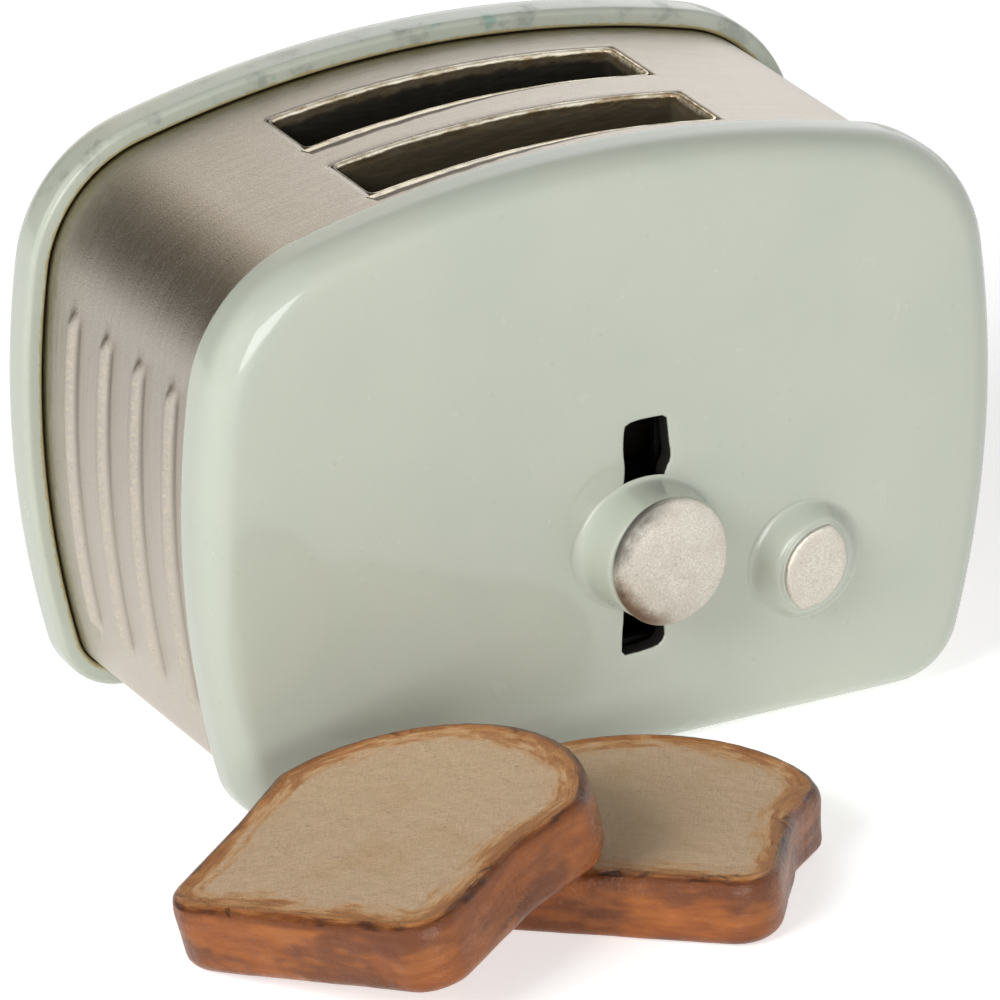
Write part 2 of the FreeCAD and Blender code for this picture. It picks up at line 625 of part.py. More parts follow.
def lift_slider():
    body = block(
        LEVER_X - SLIDER_HALF_WIDTH, LEVER_X + SLIDER_HALF_WIDTH, SLIDER_Y, SLIDER_BACK_Y,
        SLIDER_BOTTOM, SLIDER_TOP,
    )
    bores = [column(BUSH_RADIUS, x, ROD_Y, SLIDER_BOTTOM, SLIDER_TOP) for x in rod_places()]
    socket = stem_block(SLIDER_Y, SLIDER_Y + STEM_TENON, ASSEMBLY_GAP / 2)
    rivet_front = SLIDER_BACK_Y - PAD_RIVET_LENGTH
    rivet_holes = [post(RIVET_RADIUS, x, z, rivet_front, SLIDER_BACK_Y) for x, z in pad_rivet_places()]
    return body.cut(bores + [socket] + rivet_holes)


def slider_bushes():
    flange_top = SLIDER_TOP + BUSH_FLANGE
    return join([
        column(BUSH_RADIUS, x, ROD_Y, SLIDER_BOTTOM, SLIDER_TOP)
        .fuse(column(BUSH_RADIUS + BUSH_FLANGE, x, ROD_Y, SLIDER_TOP, flange_top))
        .cut(column(BUSH_BORE, x, ROD_Y, SLIDER_BOTTOM, flange_top))
        for x in rod_places()
    ])


def friction_spring():
    """Leaf bowed from the slider towards the frame's plate."""
    crest = GUIDE_BACK_Y + RUNNING_GAP
    rise = SLIDER_Y - crest - SPRING_SHEET
    half = SPRING_LENGTH / 2
    radius = (half ** 2 + rise ** 2) / (2 * rise)
    x_low = LEVER_X + SPRING_X - SPRING_WIDTH / 2
    centre = Vector(x_low, crest + radius + SPRING_SHEET, LEVER_Z)
    outer = Part.makeCylinder(radius + SPRING_SHEET, SPRING_WIDTH, centre, Vector(1, 0, 0))
    inner = Part.makeCylinder(radius, SPRING_WIDTH, centre, Vector(1, 0, 0))
    window = block(x_low, x_low + SPRING_WIDTH, crest, SLIDER_Y, LEVER_Z - half, LEVER_Z + half)
    return outer.cut(inner).common(window)


# ---- bread lift ------------------------------------------------------------------------------
def pad_rivet_places():
    """Middle of where the arm's pad and the slider overlap."""
    z = (ARM_BOTTOM + ARM_PAD_HEIGHT + SLIDER_BOTTOM) / 2
    return [(LEVER_X - PAD_RIVET_X, z), (LEVER_X + PAD_RIVET_X, z)]


def lift_arm():
    """Pad on the back of the slider and a bar through both wells."""
    pad_half = ARM_PAD_WIDTH / 2
    bar_half = ARM_WIDTH / 2
    bar_end = WELL_Y + ARM_OVERHANG
    pad = block(
        LEVER_X - pad_half, LEVER_X + pad_half, SLIDER_BACK_Y, ARM_PAD_BACK_Y,
        ARM_BOTTOM, ARM_BOTTOM + ARM_PAD_HEIGHT,
    )
    bar = block(LEVER_X - bar_half, LEVER_X + bar_half, SLIDER_BACK_Y, bar_end, ARM_BOTTOM, ARM_TOP)
    holes = [post(RIVET_RADIUS, x, z, SLIDER_BACK_Y, ARM_PAD_BACK_Y) for x, z in pad_rivet_places()]
    holes += [column(RIVET_RADIUS, LEVER_X, y, ARM_BOTTOM, ARM_TOP) for y in (-WELL_Y, WELL_Y)]
    return pad.fuse(bar).removeSplitter().cut(holes)


def bread_tray(y):
    tray = rounded_block(TRAY_LENGTH, TRAY_WIDTH, TRAY_CORNER, WELL_X, y, ARM_TOP, TRAY_TOP)
    return tray.cut(column(RIVET_RADIUS, LEVER_X, y, ARM_TOP, TRAY_TOP))


def tray_rivet(y):
    shank = column(RIVET_RADIUS, LEVER_X, y, ARM_BOTTOM, TRAY_TOP)
    return shank.fuse(column(RIVET_HEAD, LEVER_X, y, TRAY_TOP, TRAY_TOP + RIVET_HEAD_RISE))


def pad_rivet(x, z):
    shank = post(RIVET_RADIUS, x, z, SLIDER_BACK_Y - PAD_RIVET_LENGTH, ARM_PAD_BACK_Y)
    return shank.fuse(post(RIVET_HEAD, x, z, ARM_PAD_BACK_Y, ARM_PAD_BACK_Y + RIVET_HEAD_RISE))


def lift_rivets():
    on_trays = [tray_rivet(y) for y in (-WELL_Y, WELL_Y)]
    return join(on_trays + [pad_rivet(x, z) for x, z in pad_rivet_places()])


# ---- dial ------------------------------------------------------------------------------------
def lens(border, y_low, y_high):
    """Lens-shaped plate: two equal arcs that meet in rounded tips."""
    half_length = LENS_LENGTH / 2
    half_width = LENS_WIDTH / 2
    radius = (half_length ** 2 + half_width ** 2) / (2 * half_width)
    offset = radius - half_width
    discs = [post(radius + border, side * offset, 0, y_low, y_high) for side in (-1, 1)]
    shape = discs[0].common(discs[1])
    tips = [e for e in shape.Edges if abs(e.tangentAt(e.FirstParameter).y) > 0.99]
    shape = shape.makeFillet(LENS_TIP_RADIUS, tips)
    shape.Placement = Placement(Vector(DIAL_X, 0, DIAL_Z), Rotation(BACK, LENS_TURN))
    return shape


def dial_knob():
    """Low round boss with a lens-shaped grip on it."""
    foot = FACE_Y - SLIDING_GAP
    foot_edge = FACE_Y - DIAL_FOOT_HEIGHT
    base = FACE_Y - DIAL_BASE_HEIGHT
    profile = [
        (0, foot),
        (DIAL_FOOT_RADIUS, foot),
        (DIAL_FOOT_RADIUS, foot_edge),
        ((DIAL_FOOT_RADIUS + DIAL_NECK_RADIUS) / 2, (foot_edge + base) / 2 + DIAL_FLARE_RISE),
        (DIAL_NECK_RADIUS, base),
        (0, base),
    ]
    grip = lens(LENS_BORDER, FACE_Y - DIAL_GRIP_HEIGHT, base)
    knob = turned(profile, DIAL_X, DIAL_Z).fuse(grip)
    return knob.cut(post(DIAL_SHAFT_RADIUS, DIAL_X, DIAL_Z, FACE_Y - DIAL_SHAFT_SEAT, FACE_Y))


def dial_face():
    front = FACE_Y - DIAL_GRIP_HEIGHT - DIAL_FACE_SHEET
    plate = lens(0, front, FACE_Y - DIAL_GRIP_HEIGHT)
    rim = [e for e in plate.Edges if abs(e.BoundBox.YMax - front) < CLOSE]
    return plate.makeFillet(DIAL_FACE_SHEET / 2, rim)


def dial_shaft():
    clip_back = DIAL_CLIP_Y + DIAL_CLIP_SHEET
    shaft = post(DIAL_SHAFT_RADIUS, DIAL_X, DIAL_Z, FACE_Y - DIAL_SHAFT_SEAT, clip_back + DIAL_SHAFT_END)
    core = post(DIAL_SHAFT_RADIUS - DIAL_GROOVE, DIAL_X, DIAL_Z, DIAL_CLIP_Y, clip_back)
    groove = post(DIAL_SHAFT_RADIUS, DIAL_X, DIAL_Z, DIAL_CLIP_Y, clip_back).cut(core)
    return shaft.cut(groove)


def dial_bush():
    front = FACE_Y + ASSEMBLY_GAP
    flange_back = PANEL_INNER_Y + DIAL_BUSH_FLANGE
    barrel = post(DIAL_BUSH_RADIUS, DIAL_X, DIAL_Z, front, PANEL_INNER_Y)
    flange = post(DIAL_FLANGE_RADIUS, DIAL_X, DIAL_Z, PANEL_INNER_Y, flange_back)
    return barrel.fuse(flange).cut(post(DIAL_BORE, DIAL_X, DIAL_Z, front, flange_back))


def dial_washer():
    back = DIAL_WASHER_Y + DIAL_WASHER_SHEET
    disc = post(DIAL_FLANGE_RADIUS, DIAL_X, DIAL_Z, DIAL_WASHER_Y, back)
    return disc.cut(post(DIAL_BORE, DIAL_X, DIAL_Z, DIAL_WASHER_Y, back))


def dial_clip():
    """Open ring in the shaft's groove."""
    back = DIAL_CLIP_Y + DIAL_CLIP_SHEET
    neck = DIAL_SHAFT_RADIUS - DIAL_GROOVE
    ring = post(DIAL_BUSH_RADIUS, DIAL_X, DIAL_Z, DIAL_CLIP_Y, back)
    ring = ring.cut(post(neck, DIAL_X, DIAL_Z, DIAL_CLIP_Y, back))
    mouth = block(DIAL_X - neck, DIAL_X + neck, DIAL_CLIP_Y, back, DIAL_Z - 2 * DIAL_BUSH_RADIUS, DIAL_Z)
    return ring.cut(mouth)


# ---- slices of bread -------------------------------------------------------------------------
def bread_slice(widths, levels, height, thickness):
    """Slice with its straight edge on X, a domed top and two ears.

    The widths are at the straight edge, the waist and the ears. The levels are those of the
    waist, the ears and the shoulders.
    """
    foot, waist, ears = widths
    waist_up, ear_up, shoulder_up = levels
    right = [
        Vector(foot / 2, 0, 0),
        Vector(waist / 2, waist_up, 0),
        Vector(ears / 2, ear_up, 0),
        Vector(ears / 2 - SHOULDER_INSET, shoulder_up, 0),
    ]
    left = [Vector(-point.x, point.y, 0) for point in reversed(right)]
    edges = [Part.makeLine(a, b) for a, b in zip(right, right[1:])]
    edges.append(Part.Arc(right[-1], Vector(0, height, 0), left[0]).toShape())
    edges += [Part.makeLine(a, b) for a, b in zip(left, left[1:])]
    edges.append(Part.makeLine(left[-1], right[0]))
    solid = Part.Face(Part.Wire(edges)).extrude(Vector(0, 0, thickness))
    rounds = [
        (SLICE_FOOT_RADIUS, 0),
        (SLICE_WAIST_RADIUS, waist_up),
        (SLICE_EAR_RADIUS, ear_up),
        (SLICE_SHOULDER_RADIUS, shoulder_up),
    ]
    for radius, level in rounds:
        corners = [
            e for e in solid.Edges
            if e.BoundBox.ZLength > thickness / 2 and abs(e.CenterOfMass.y - level) < CLOSE
        ]
        solid = solid.makeFillet(radius, corners)
    return solid.makeFillet(CRUST_RADIUS, [e for e in solid.Edges if e.BoundBox.ZLength < CLOSE])


def flat_slice():
    shape = bread_slice(
        (FLAT_FOOT_WIDTH, FLAT_WAIST_WIDTH, FLAT_EAR_WIDTH),
        (FLAT_WAIST_UP, FLAT_EAR_UP, FLAT_SHOULDER_UP),
        FLAT_HEIGHT, FLAT_THICKNESS,
    )
    shape.Placement = Placement(Vector(FLAT_X, FLAT_Y, 0), Rotation(UP, FLAT_TURN))
    return shape


def leaned(roll):
    """The upper slice with its right side raised by an angle and one corner on the table."""
    shape = bread_slice(
        (LEANING_FOOT_WIDTH, LEANING_WAIST_WIDTH, LEANING_EAR_WIDTH),
        (LEANING_WAIST_UP, LEANING_EAR_UP, LEANING_SHOULDER_UP),
        LEANING_HEIGHT, LEANING_THICKNESS,
    )
    turn = Rotation(UP, LEANING_TURN)
    pitch = Rotation(Vector(1, 0, 0), LEANING_PITCH)
    lean = Rotation(BACK, -roll)
    shape.Placement = Placement(Vector(LEANING_X, LEANING_Y, 0), turn.multiply(pitch).multiply(lean))
    shape.translate(Vector(0, 0, -lowest(shape)))
    return shape


def leaning_slice():
    """Leans just far enough to rest on the flat slice."""
    support = flat_slice()
    through = 0.0
    clear = STEEPEST_LEAN
    while clear - through > LEAN_STEP:
        middle = (through + clear) / 2
        if leaned(middle).distToShape(support)[0] > LEANING_GAP:
            clear = middle
        else:
            through = middle
    print(f"the upper slice leans by {clear:.2f} degrees")
    return leaned(clear)


def lowest(shape):
    """Height of a shape's lowest point, measured on its surface."""
    corner = Vector(-TABLE_SIZE / 2, -TABLE_SIZE / 2, -TABLE_DROP)
    table = Part.makePlane(TABLE_SIZE, TABLE_SIZE, corner)
    return shape.distToShape(table)[0] - TABLE_DROP


# ---- all pieces ------------------------------------------------------------------------------
def pieces():
    return {
        "front_panel": front_panel(),
        "back_panel": back_panel(),
        "body_band": body_band(),
        "base_plate": base_plate(),
        "base_screws": base_screws(),
        "front_bread_well": bread_well(-WELL_Y),
        "rear_bread_well": bread_well(WELL_Y),
        "guide_frame": guide_frame(),
        "guide_screws": guide_screws(),
        "guide_rods": guide_rods(),
        "dial_bush": dial_bush(),
        "lever_knob": lever_knob(),
        "lever_knob_cap": lever_knob_cap(),
        "knob_screw": knob_screw(),
        "lever_stem": lever_stem(),
        "lift_slider": lift_slider(),
        "slider_bushes": slider_bushes(),
        "friction_spring": friction_spring(),
        "lift_arm": lift_arm(),
        "front_bread_tray": bread_tray(-WELL_Y),
        "rear_bread_tray": bread_tray(WELL_Y),
        "lift_rivets": lift_rivets(),
        "dial_knob": dial_knob(),
        "dial_face": dial_face(),
        "dial_shaft": dial_shaft(),
        "dial_washer": dial_washer(),
        "dial_clip": dial_clip(),
        "flat_slice": flat_slice(),
        "leaning_slice": leaning_slice(),
    }


os.makedirs("parts", exist_ok=True)
for name, shape in pieces().items():
    shape.exportStep("parts/" + name + ".step")
    box = shape.BoundBox
    print(
        f"{name:18s} solids {len(shape.Solids)} volume {shape.Volume:9.2f} valid {shape.isValid()}"
        f"  x {box.XMin:7.2f} {box.XMax:7.2f}  y {box.YMin:7.2f} {box.YMax:7.2f}"
        f"  z {box.ZMin:7.2f} {box.ZMax:7.2f}"
    )
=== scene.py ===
# %% [markdown]
# # A doll's-house toaster and its two slices of bread
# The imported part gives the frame: every solid, its place and how it moves. This lesson dresses that frame.
# Sheet metal, paint and bread are made here as fine meshes, one step at a time, and each of them takes the
# place of the plain solid that it stands for. All sizes are written in millimetres and become metres only
# when a mesh is made.

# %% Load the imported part
import math
from functools import partialmethod

import bmesh
import bpy
import numpy as np
from mathutils import Matrix, Vector
from mathutils.geometry import delaunay_2d_cdt
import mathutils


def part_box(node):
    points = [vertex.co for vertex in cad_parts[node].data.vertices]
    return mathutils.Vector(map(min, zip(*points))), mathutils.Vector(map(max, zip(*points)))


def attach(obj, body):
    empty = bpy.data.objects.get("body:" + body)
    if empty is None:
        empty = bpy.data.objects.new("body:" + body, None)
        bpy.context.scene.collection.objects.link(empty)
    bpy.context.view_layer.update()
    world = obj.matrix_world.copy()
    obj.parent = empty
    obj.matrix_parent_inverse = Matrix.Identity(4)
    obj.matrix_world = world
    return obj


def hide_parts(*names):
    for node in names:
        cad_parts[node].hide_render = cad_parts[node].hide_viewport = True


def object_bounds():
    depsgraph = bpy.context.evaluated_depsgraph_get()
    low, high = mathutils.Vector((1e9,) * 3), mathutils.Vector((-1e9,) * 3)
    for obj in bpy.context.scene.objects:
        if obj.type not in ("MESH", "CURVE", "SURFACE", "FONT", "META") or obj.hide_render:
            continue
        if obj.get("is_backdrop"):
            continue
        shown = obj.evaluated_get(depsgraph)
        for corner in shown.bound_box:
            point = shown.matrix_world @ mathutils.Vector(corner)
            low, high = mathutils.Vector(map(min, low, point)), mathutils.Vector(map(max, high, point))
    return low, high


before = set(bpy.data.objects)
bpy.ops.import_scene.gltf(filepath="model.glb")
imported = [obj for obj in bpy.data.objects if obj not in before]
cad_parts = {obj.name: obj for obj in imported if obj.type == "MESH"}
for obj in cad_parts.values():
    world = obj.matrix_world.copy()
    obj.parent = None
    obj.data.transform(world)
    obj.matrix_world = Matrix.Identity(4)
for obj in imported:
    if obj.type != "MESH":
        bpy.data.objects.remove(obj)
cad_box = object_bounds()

# %% [markdown]
# ## Small helpers
# A mesh is kept as a list of points and a list of faces while it is being made. `Shell` collects rings of
# points and joins them, which is how nearly every piece here is built: a pan, a knob, a slice of bread and
# the lining of a slot are all rings that follow one outline at different distances and heights.

# %% A collector for points and faces
MM = 0.001


class Shell:
    """Points and faces of one piece, in millimetres, with a few values kept for each point."""

    def __init__(self):
        self.points, self.faces, self.values = [], [], {}

    def add(self, points, **values):
        """Adds points and gives back their numbers. A value is one number, or one for each point."""
        numbers = range(len(self.points), len(self.points) + len(points))
        self.points += [tuple(float(c) for c in p) for p in points]
        for name, value in values.items():
            filled = np.broadcast_to(np.asarray(value, float), len(points))
            self.values.setdefault(name, {}).update(zip(numbers, filled))
        return list(numbers)

    def join(self, low, high):
        """Quads between two closed rings with equally many points."""
        for i, a in enumerate(low):
            b = (i + 1) % len(low)
            self.faces.append((a, low[b], high[b], high[i]))

    def close(self, ring, centre, **values):
        """Fans a ring in to one point."""
        tip = self.add([centre], **values)[0]
        self.faces += [(a, b, tip) for a, b in zip(ring, ring[1:] + ring[:1])]

    def stack(self, rings, **values):
        """Adds rings one after another and joins neighbours. A value is a list, one entry for each ring."""
        numbered = []
        for i, ring in enumerate(rings):
            numbered.append(self.add(ring, **{name: given[i] for name, given in values.items()}))
        for low, high in zip(numbered, numbered[1:]):
            self.join(low, high)
        return numbered


# %% From a shell to a Blender object
def in_scene(name, data):
    made = bpy.data.objects.new(name, data)
    bpy.context.scene.collection.objects.link(made)
    return made


def finished_mesh(mesh, sharp_degrees, weld=0.002):
    """Merges doubles, turns all faces outwards, and shades it smooth between sharp edges."""
    work = bmesh.new()
    work.from_mesh(mesh)
    bmesh.ops.remove_doubles(work, verts=work.verts, dist=weld * MM)
    bmesh.ops.recalc_face_normals(work, faces=work.faces)
    open_edges = sum(1 for e in work.edges if not e.is_manifold)
    work.to_mesh(mesh)
    work.free()
    mesh.shade_smooth()
    mesh.set_sharp_from_angle(angle=math.radians(sharp_degrees))
    print(f"{mesh.name}: {len(mesh.vertices)} points, {len(mesh.polygons)} faces, {open_edges} open edges")


def piece(name, shell, sharp_degrees=38, weld=0.002):
    mesh = bpy.data.meshes.new(name)
    mesh.from_pydata([Vector(p) * MM for p in shell.points], [], shell.faces)
    for value_name, values in shell.values.items():
        layer = mesh.attributes.new(value_name, "FLOAT", "POINT")
        layer.data.foreach_set("value", [values.get(i, 0.0) for i in range(len(shell.points))])
    finished_mesh(mesh, sharp_degrees, weld)
    return in_scene(name, mesh)


# %% [markdown]
# Rings are drawn flat, as pairs of numbers, and then stand upright or lie down. Round edges come from a
# quarter of a circle in a few steps.

# %% Flat loops and how they are placed
def upright(flat, y):
    """Points (x, z) at the depth y."""
    return np.column_stack([flat[:, 0], np.broadcast_to(y, len(flat)), flat[:, 1]])


def lying(flat, z):
    """Points (x, y) at the height z."""
    return np.column_stack([flat, np.broadcast_to(z, len(flat))])


def quarter(steps):
    """A quarter of a circle: pairs of what is left in one direction and what is gained in the other."""
    return [(1 - math.sin(turn), 1 - math.cos(turn)) for turn in np.linspace(0, math.pi / 2, steps)]


def circle(radius, count, x=0.0, z=0.0):
    angles = np.linspace(0, 2 * math.pi, count, endpoint=False)
    return np.column_stack([x + radius * np.cos(angles), z + radius * np.sin(angles)])


def run_along(loop):
    """The loop with its first point repeated at the end, and the distance along it at each point."""
    closed = np.vstack([loop, loop[:1]])
    return closed, np.concatenate([[0], np.cumsum(np.linalg.norm(np.diff(closed, axis=0), axis=1))])


def evenly(loop, count):
    """The same closed loop with evenly spaced points."""
    closed, along = run_along(loop)
    at = np.linspace(0, along[-1], count, endpoint=False)
    return np.column_stack([np.interp(at, along, closed[:, k]) for k in range(2)])


def smooth_loop(corners, count):
    """Closed curve through a few corners, evenly spaced."""
    corners, dense = np.array(corners), []
    for i in range(len(corners)):
        a, b, c, d = (corners[(i + k) % len(corners)] for k in (-1, 0, 1, 2))
        for t in np.linspace(0, 1, 12, endpoint=False):
            curve = (c - a) * t + (2 * a - 5 * b + 4 * c - d) * t ** 2 + (3 * b - a - 3 * c + d) * t ** 3
            dense.append(b + curve / 2)
    return evenly(np.array(dense), count)


def loop_outward(loop):
    """Outward directions of an anticlockwise loop."""
    along = np.roll(loop, -1, axis=0) - np.roll(loop, 1, axis=0)
    along /= np.linalg.norm(along, axis=1)[:, None]
    return np.column_stack([along[:, 1], -along[:, 0]])


# %% [markdown]
# A flat or gently domed face with holes in it can't be made of rings. It is filled with triangles between
# its border, its holes and a loose grid of inner points, and each point then gets its height from a rule.

# %% Fill a region with holes
CLEAR_OF_BORDER, CLEAR_OF_HOLE = 0.6, 0.4


def inside(loop, points):
    """Which points lie inside a closed loop, by counting crossings."""
    x, z = points[:, 0][:, None], points[:, 1][:, None]
    a, b = loop, np.roll(loop, -1, axis=0)
    crosses = (a[:, 1] > z) != (b[:, 1] > z)
    rise = np.where(b[:, 1] == a[:, 1], 1e-12, b[:, 1] - a[:, 1])
    at = a[:, 0] + (z - a[:, 1]) * (b[:, 0] - a[:, 0]) / rise
    return (crosses & (x < at)).sum(axis=1) % 2 == 1


def nearest(loop, points):
    """Distance from each point to the nearest point of a loop."""
    return np.sqrt(((points[:, None] - loop[None]) ** 2).sum(axis=2)).min(axis=1)


def filled(shell, border, holes, step, place, **values):
    """Triangles over the border without its holes. place turns flat points into points in space."""
    low, high = border.min(axis=0), border.max(axis=0)
    across, up = (np.arange(low[k] + step / 2, high[k], step) for k in range(2))
    grid = np.array([(x, z) for x in across for z in up])
    grid = grid[inside(border, grid) & (nearest(border, grid) > step * CLEAR_OF_BORDER)]
    edges, first = [], 0
    for loop in [border] + holes:
        edges += [(first + i, first + (i + 1) % len(loop)) for i in range(len(loop))]
        first += len(loop)
    for hole in holes:
        grid = grid[~inside(hole, grid) & (nearest(hole, grid) > step * CLEAR_OF_HOLE)]
    flat = np.vstack([border] + holes + [grid])
    found = delaunay_2d_cdt([Vector(p) for p in flat], edges, [], 0, 1e-7)
    flat, faces = np.array([tuple(p) for p in found[0]]), np.array(found[2])
    middles = flat[faces].mean(axis=1)
    keep = inside(border, middles)
    for hole in holes:
        keep &= ~inside(hole, middles)
    numbers = shell.add(place(flat), **values)
    shell.faces += [tuple(numbers[i] for i in face) for face in faces[keep]]


# %% [markdown]
# ## The toaster's outline
# Pans and band share one outline: a long arch on top, bulging ends, round shoulders and small round feet,
# all arcs that run into each other. An arc's neighbours at a distance are arcs too, so a point of the
# outline and its outward direction are all that is needed for the outer edge, the inner edge, the rounded
# corners and the nickel band that lies inside.

# %% Outline of the body
BODY_WIDTH = 60.0
BODY_HEIGHT = 43.5
ARCH_RADIUS = 83.5
SIDE_RADIUS = 71.5
SIDE_BULGE_HEIGHT = 21.9
SHOULDER_RADIUS = 10.8
FOOT_RADIUS = 5.0


def body_arcs():
    """Right half of the outline: (centre, radius, start, end), from foot to the middle of the top."""
    arch = np.array([0, BODY_HEIGHT - ARCH_RADIUS])
    side = np.array([BODY_WIDTH / 2 - SIDE_RADIUS, SIDE_BULGE_HEIGHT])
    to_side = side - arch
    apart = np.linalg.norm(to_side)
    from_arch = ARCH_RADIUS - SHOULDER_RADIUS
    along = (from_arch ** 2 - (SIDE_RADIUS - SHOULDER_RADIUS) ** 2 + apart ** 2) / (2 * apart)
    unit = to_side / apart
    across = math.sqrt(from_arch ** 2 - along ** 2)
    shoulder = arch + unit * along + np.array([unit[1], -unit[0]]) * across
    foot_rise = SIDE_BULGE_HEIGHT - FOOT_RADIUS
    foot = np.array([side[0] + math.sqrt((SIDE_RADIUS - FOOT_RADIUS) ** 2 - foot_rise ** 2), FOOT_RADIUS])
    turn = [math.atan2(*(b - a)[::-1]) for a, b in ((side, foot), (side, shoulder), (arch, shoulder))]
    return [
        (foot, FOOT_RADIUS, -math.pi / 2, turn[0]),
        (side, SIDE_RADIUS, turn[0], turn[1]),
        (shoulder, SHOULDER_RADIUS, turn[1], turn[2]),
        (arch, ARCH_RADIUS, turn[2], math.pi / 2),
    ]


def body_outline(counts=(14, 26, 22, 36), floor_count=14):
    """Points and outward directions of the whole outline, from the middle of the floor."""
    arcs = body_arcs()
    points = [(x, 0.0) for x in np.linspace(0, arcs[0][0][0], floor_count, endpoint=False)]
    outward = [(0.0, -1.0)] * floor_count
    for (centre, radius, start, end), count in zip(arcs, counts):
        for angle in np.linspace(start, end, count, endpoint=False):
            unit = np.array([math.cos(angle), math.sin(angle)])
            points.append(centre + unit * radius)
            outward.append(unit)
    halves = np.array(points + [(0.0, BODY_HEIGHT)]), np.array(outward + [(0.0, 1.0)])
    return [np.vstack([half, half[-2:0:-1] * (-1, 1)]) for half in halves]


EDGE, OUTWARD = body_outline()
print(f"outline of {len(EDGE)} points, {np.ptp(EDGE[:, 0]):.1f} by {np.ptp(EDGE[:, 1]):.1f} mm")

# %% [markdown]
# ## Enamelled pans
# Front and back are pressed pans: a slightly crowned face, a generous round edge and a short side wall that
# reaches back over the band. The paint is thick and softens every edge, so nothing here is left sharp. The
# front pan also has the slot of the lever, cut by hand, with edges that waver a little and are rounded over
# by the paint, and the hole for the dial's bush.

# %% Sizes of the pans
FACE_Y = -15.8
PAN_DEPTH = 4.4
PAN_WALL = 1.3
PAN_SHEET = 1.2
EDGE_ROUND = 2.2
WALL_STEPS = (2.9, 3.4)
CROWN, CROWN_REACH, CROWN_POWER = 0.35, 9.0, 2.4
RIM_ROUND = 0.45
RIM_BEVEL = 0.12
PAINT_STOPS = 0.4
INNER_ROUND = 0.8
FACE_STEP, INSIDE_STEP = 1.1, 2.4
LEVER_X, LEVER_Z = 2.5, 15.6
DIAL_X, DIAL_Z = 14.7, 11.75
DIAL_HOLE = 1.6
PAINT_ROUND = 0.22
LEVER_SLOT = [
    (0.76, 7.98), (0.84, 7.76), (1.1, 7.72), (2.3, 7.78), (3.46, 7.96), (3.92, 8.6), (3.80, 9.6),
    (3.96, 11.5), (4.02, 15), (4.0, 18), (3.93, 20.2), (4.40, 21.4), (4.27, 22.7), (4.12, 24.2),
    (4.05, 24.46), (3.8, 24.5), (3.1, 24.52), (2.1, 24.53), (1.3, 24.42), (1.02, 24.18), (0.92, 22.6),
    (1.03, 21.2), (0.93, 19.4), (0.95, 15), (0.92, 11), (0.80, 9.3),
]


def crown_fall(inset):
    """How far the face lies behind its middle, at a distance inside the edge."""
    return CROWN * np.clip(1 - np.asarray(inset) / CROWN_REACH, 0, 1) ** CROWN_POWER


def edge_distance(points):
    return ((EDGE[None] - points[:, None]) * OUTWARD[None]).sum(axis=2).min(axis=1)


# %% Profile from the face round to the inside
def pan_profile():
    """(inset, depth behind the face's middle, bare) from the border of the face to the pan's inside.

    bare is 0 where the paint is thick and 1 where it never reached.
    """
    return [
        *((EDGE_ROUND * left, EDGE_ROUND * gained + float(crown_fall(EDGE_ROUND * left)), 0.0)
          for left, gained in quarter(12)),
        *((0.0, depth, 0.0) for depth in WALL_STEPS),
        *((RIM_ROUND * gained, PAN_DEPTH - RIM_ROUND * left, 0.0) for left, gained in quarter(7)),
        (PAN_WALL - PAINT_STOPS, PAN_DEPTH, 0.0),
        (PAN_WALL - RIM_BEVEL, PAN_DEPTH, 0.7),
        (PAN_WALL, PAN_DEPTH - RIM_BEVEL, 1.0),
        *((PAN_WALL + INNER_ROUND * gained, PAN_SHEET + INNER_ROUND * left, 1.0)
          for left, gained in quarter(5)),
    ]


# %% Make both pans
def pan(name, side, holes):
    """side is 1 for the front pan and -1 for the back pan, which is its mirror image."""
    def on_face(flat, sunk=0.0):
        return upright(flat, side * (FACE_Y + crown_fall(edge_distance(flat)) + sunk))

    def on_inside(flat):
        return upright(flat, side * (FACE_Y + PAN_SHEET))

    shell = Shell()
    insets, depths, bare = zip(*pan_profile())
    shell.stack([upright(EDGE - OUTWARD * i, side * (FACE_Y + d)) for i, d in zip(insets, depths)], bare=bare)
    grown = [hole + loop_outward(hole) * PAINT_ROUND for hole in holes]
    filled(shell, EDGE - OUTWARD * insets[0], grown, FACE_STEP, on_face)
    filled(shell, EDGE - OUTWARD * insets[-1], holes, INSIDE_STEP, on_inside, bare=1.0, cut=1.0)
    for hole in holes:
        rings = [on_face(hole + loop_outward(hole) * PAINT_ROUND * left, PAINT_ROUND * gained)
                 for left, gained in quarter(5)]
        shell.stack(rings + [on_inside(hole)], cut=[*np.linspace(0, 1, 5), 1.0], bare=[0.0] * 5 + [1.0])
    add_fixings(shell, side)
    return piece(name, shell, weld=0.003)


# %% [markdown]
# Inside, each pan has two lugs that take the base screws and two tongues that hook in under the band. They
# are out of sight once the toaster is closed, but a pan without them couldn't be fixed to anything.

# %% Lugs and hooks inside the pans
BAND_INSET = 1.4
BAND_SHEET = 0.7
LUG_X, LUG_WIDTH, LUG_HEIGHT, LUG_REACH = 19.5, 5.0, 4.6, 7.0
LUG_BEVEL = 0.25
HOOK_X, HOOK_WIDTH, HOOK_SHEET, HOOK_REACH = 16.5, 5.0, 1.2, 4.6
FIT_GAP = 0.1
WALL_GAP = 0.01


def add_box(shell, low, high):
    """Box with bevelled upright edges, between two corners."""
    (x0, y0, z0), (x1, y1, z1), b = low, high, LUG_BEVEL
    corners = np.array([
        (x0 + b, y0), (x1 - b, y0), (x1, y0 + b), (x1, y1 - b),
        (x1 - b, y1), (x0 + b, y1), (x0, y1 - b), (x0, y0 + b),
    ])
    rings = shell.stack([lying(corners, z) for z in (z0, z1)])
    shell.faces += [tuple(reversed(rings[0])), tuple(rings[1])]


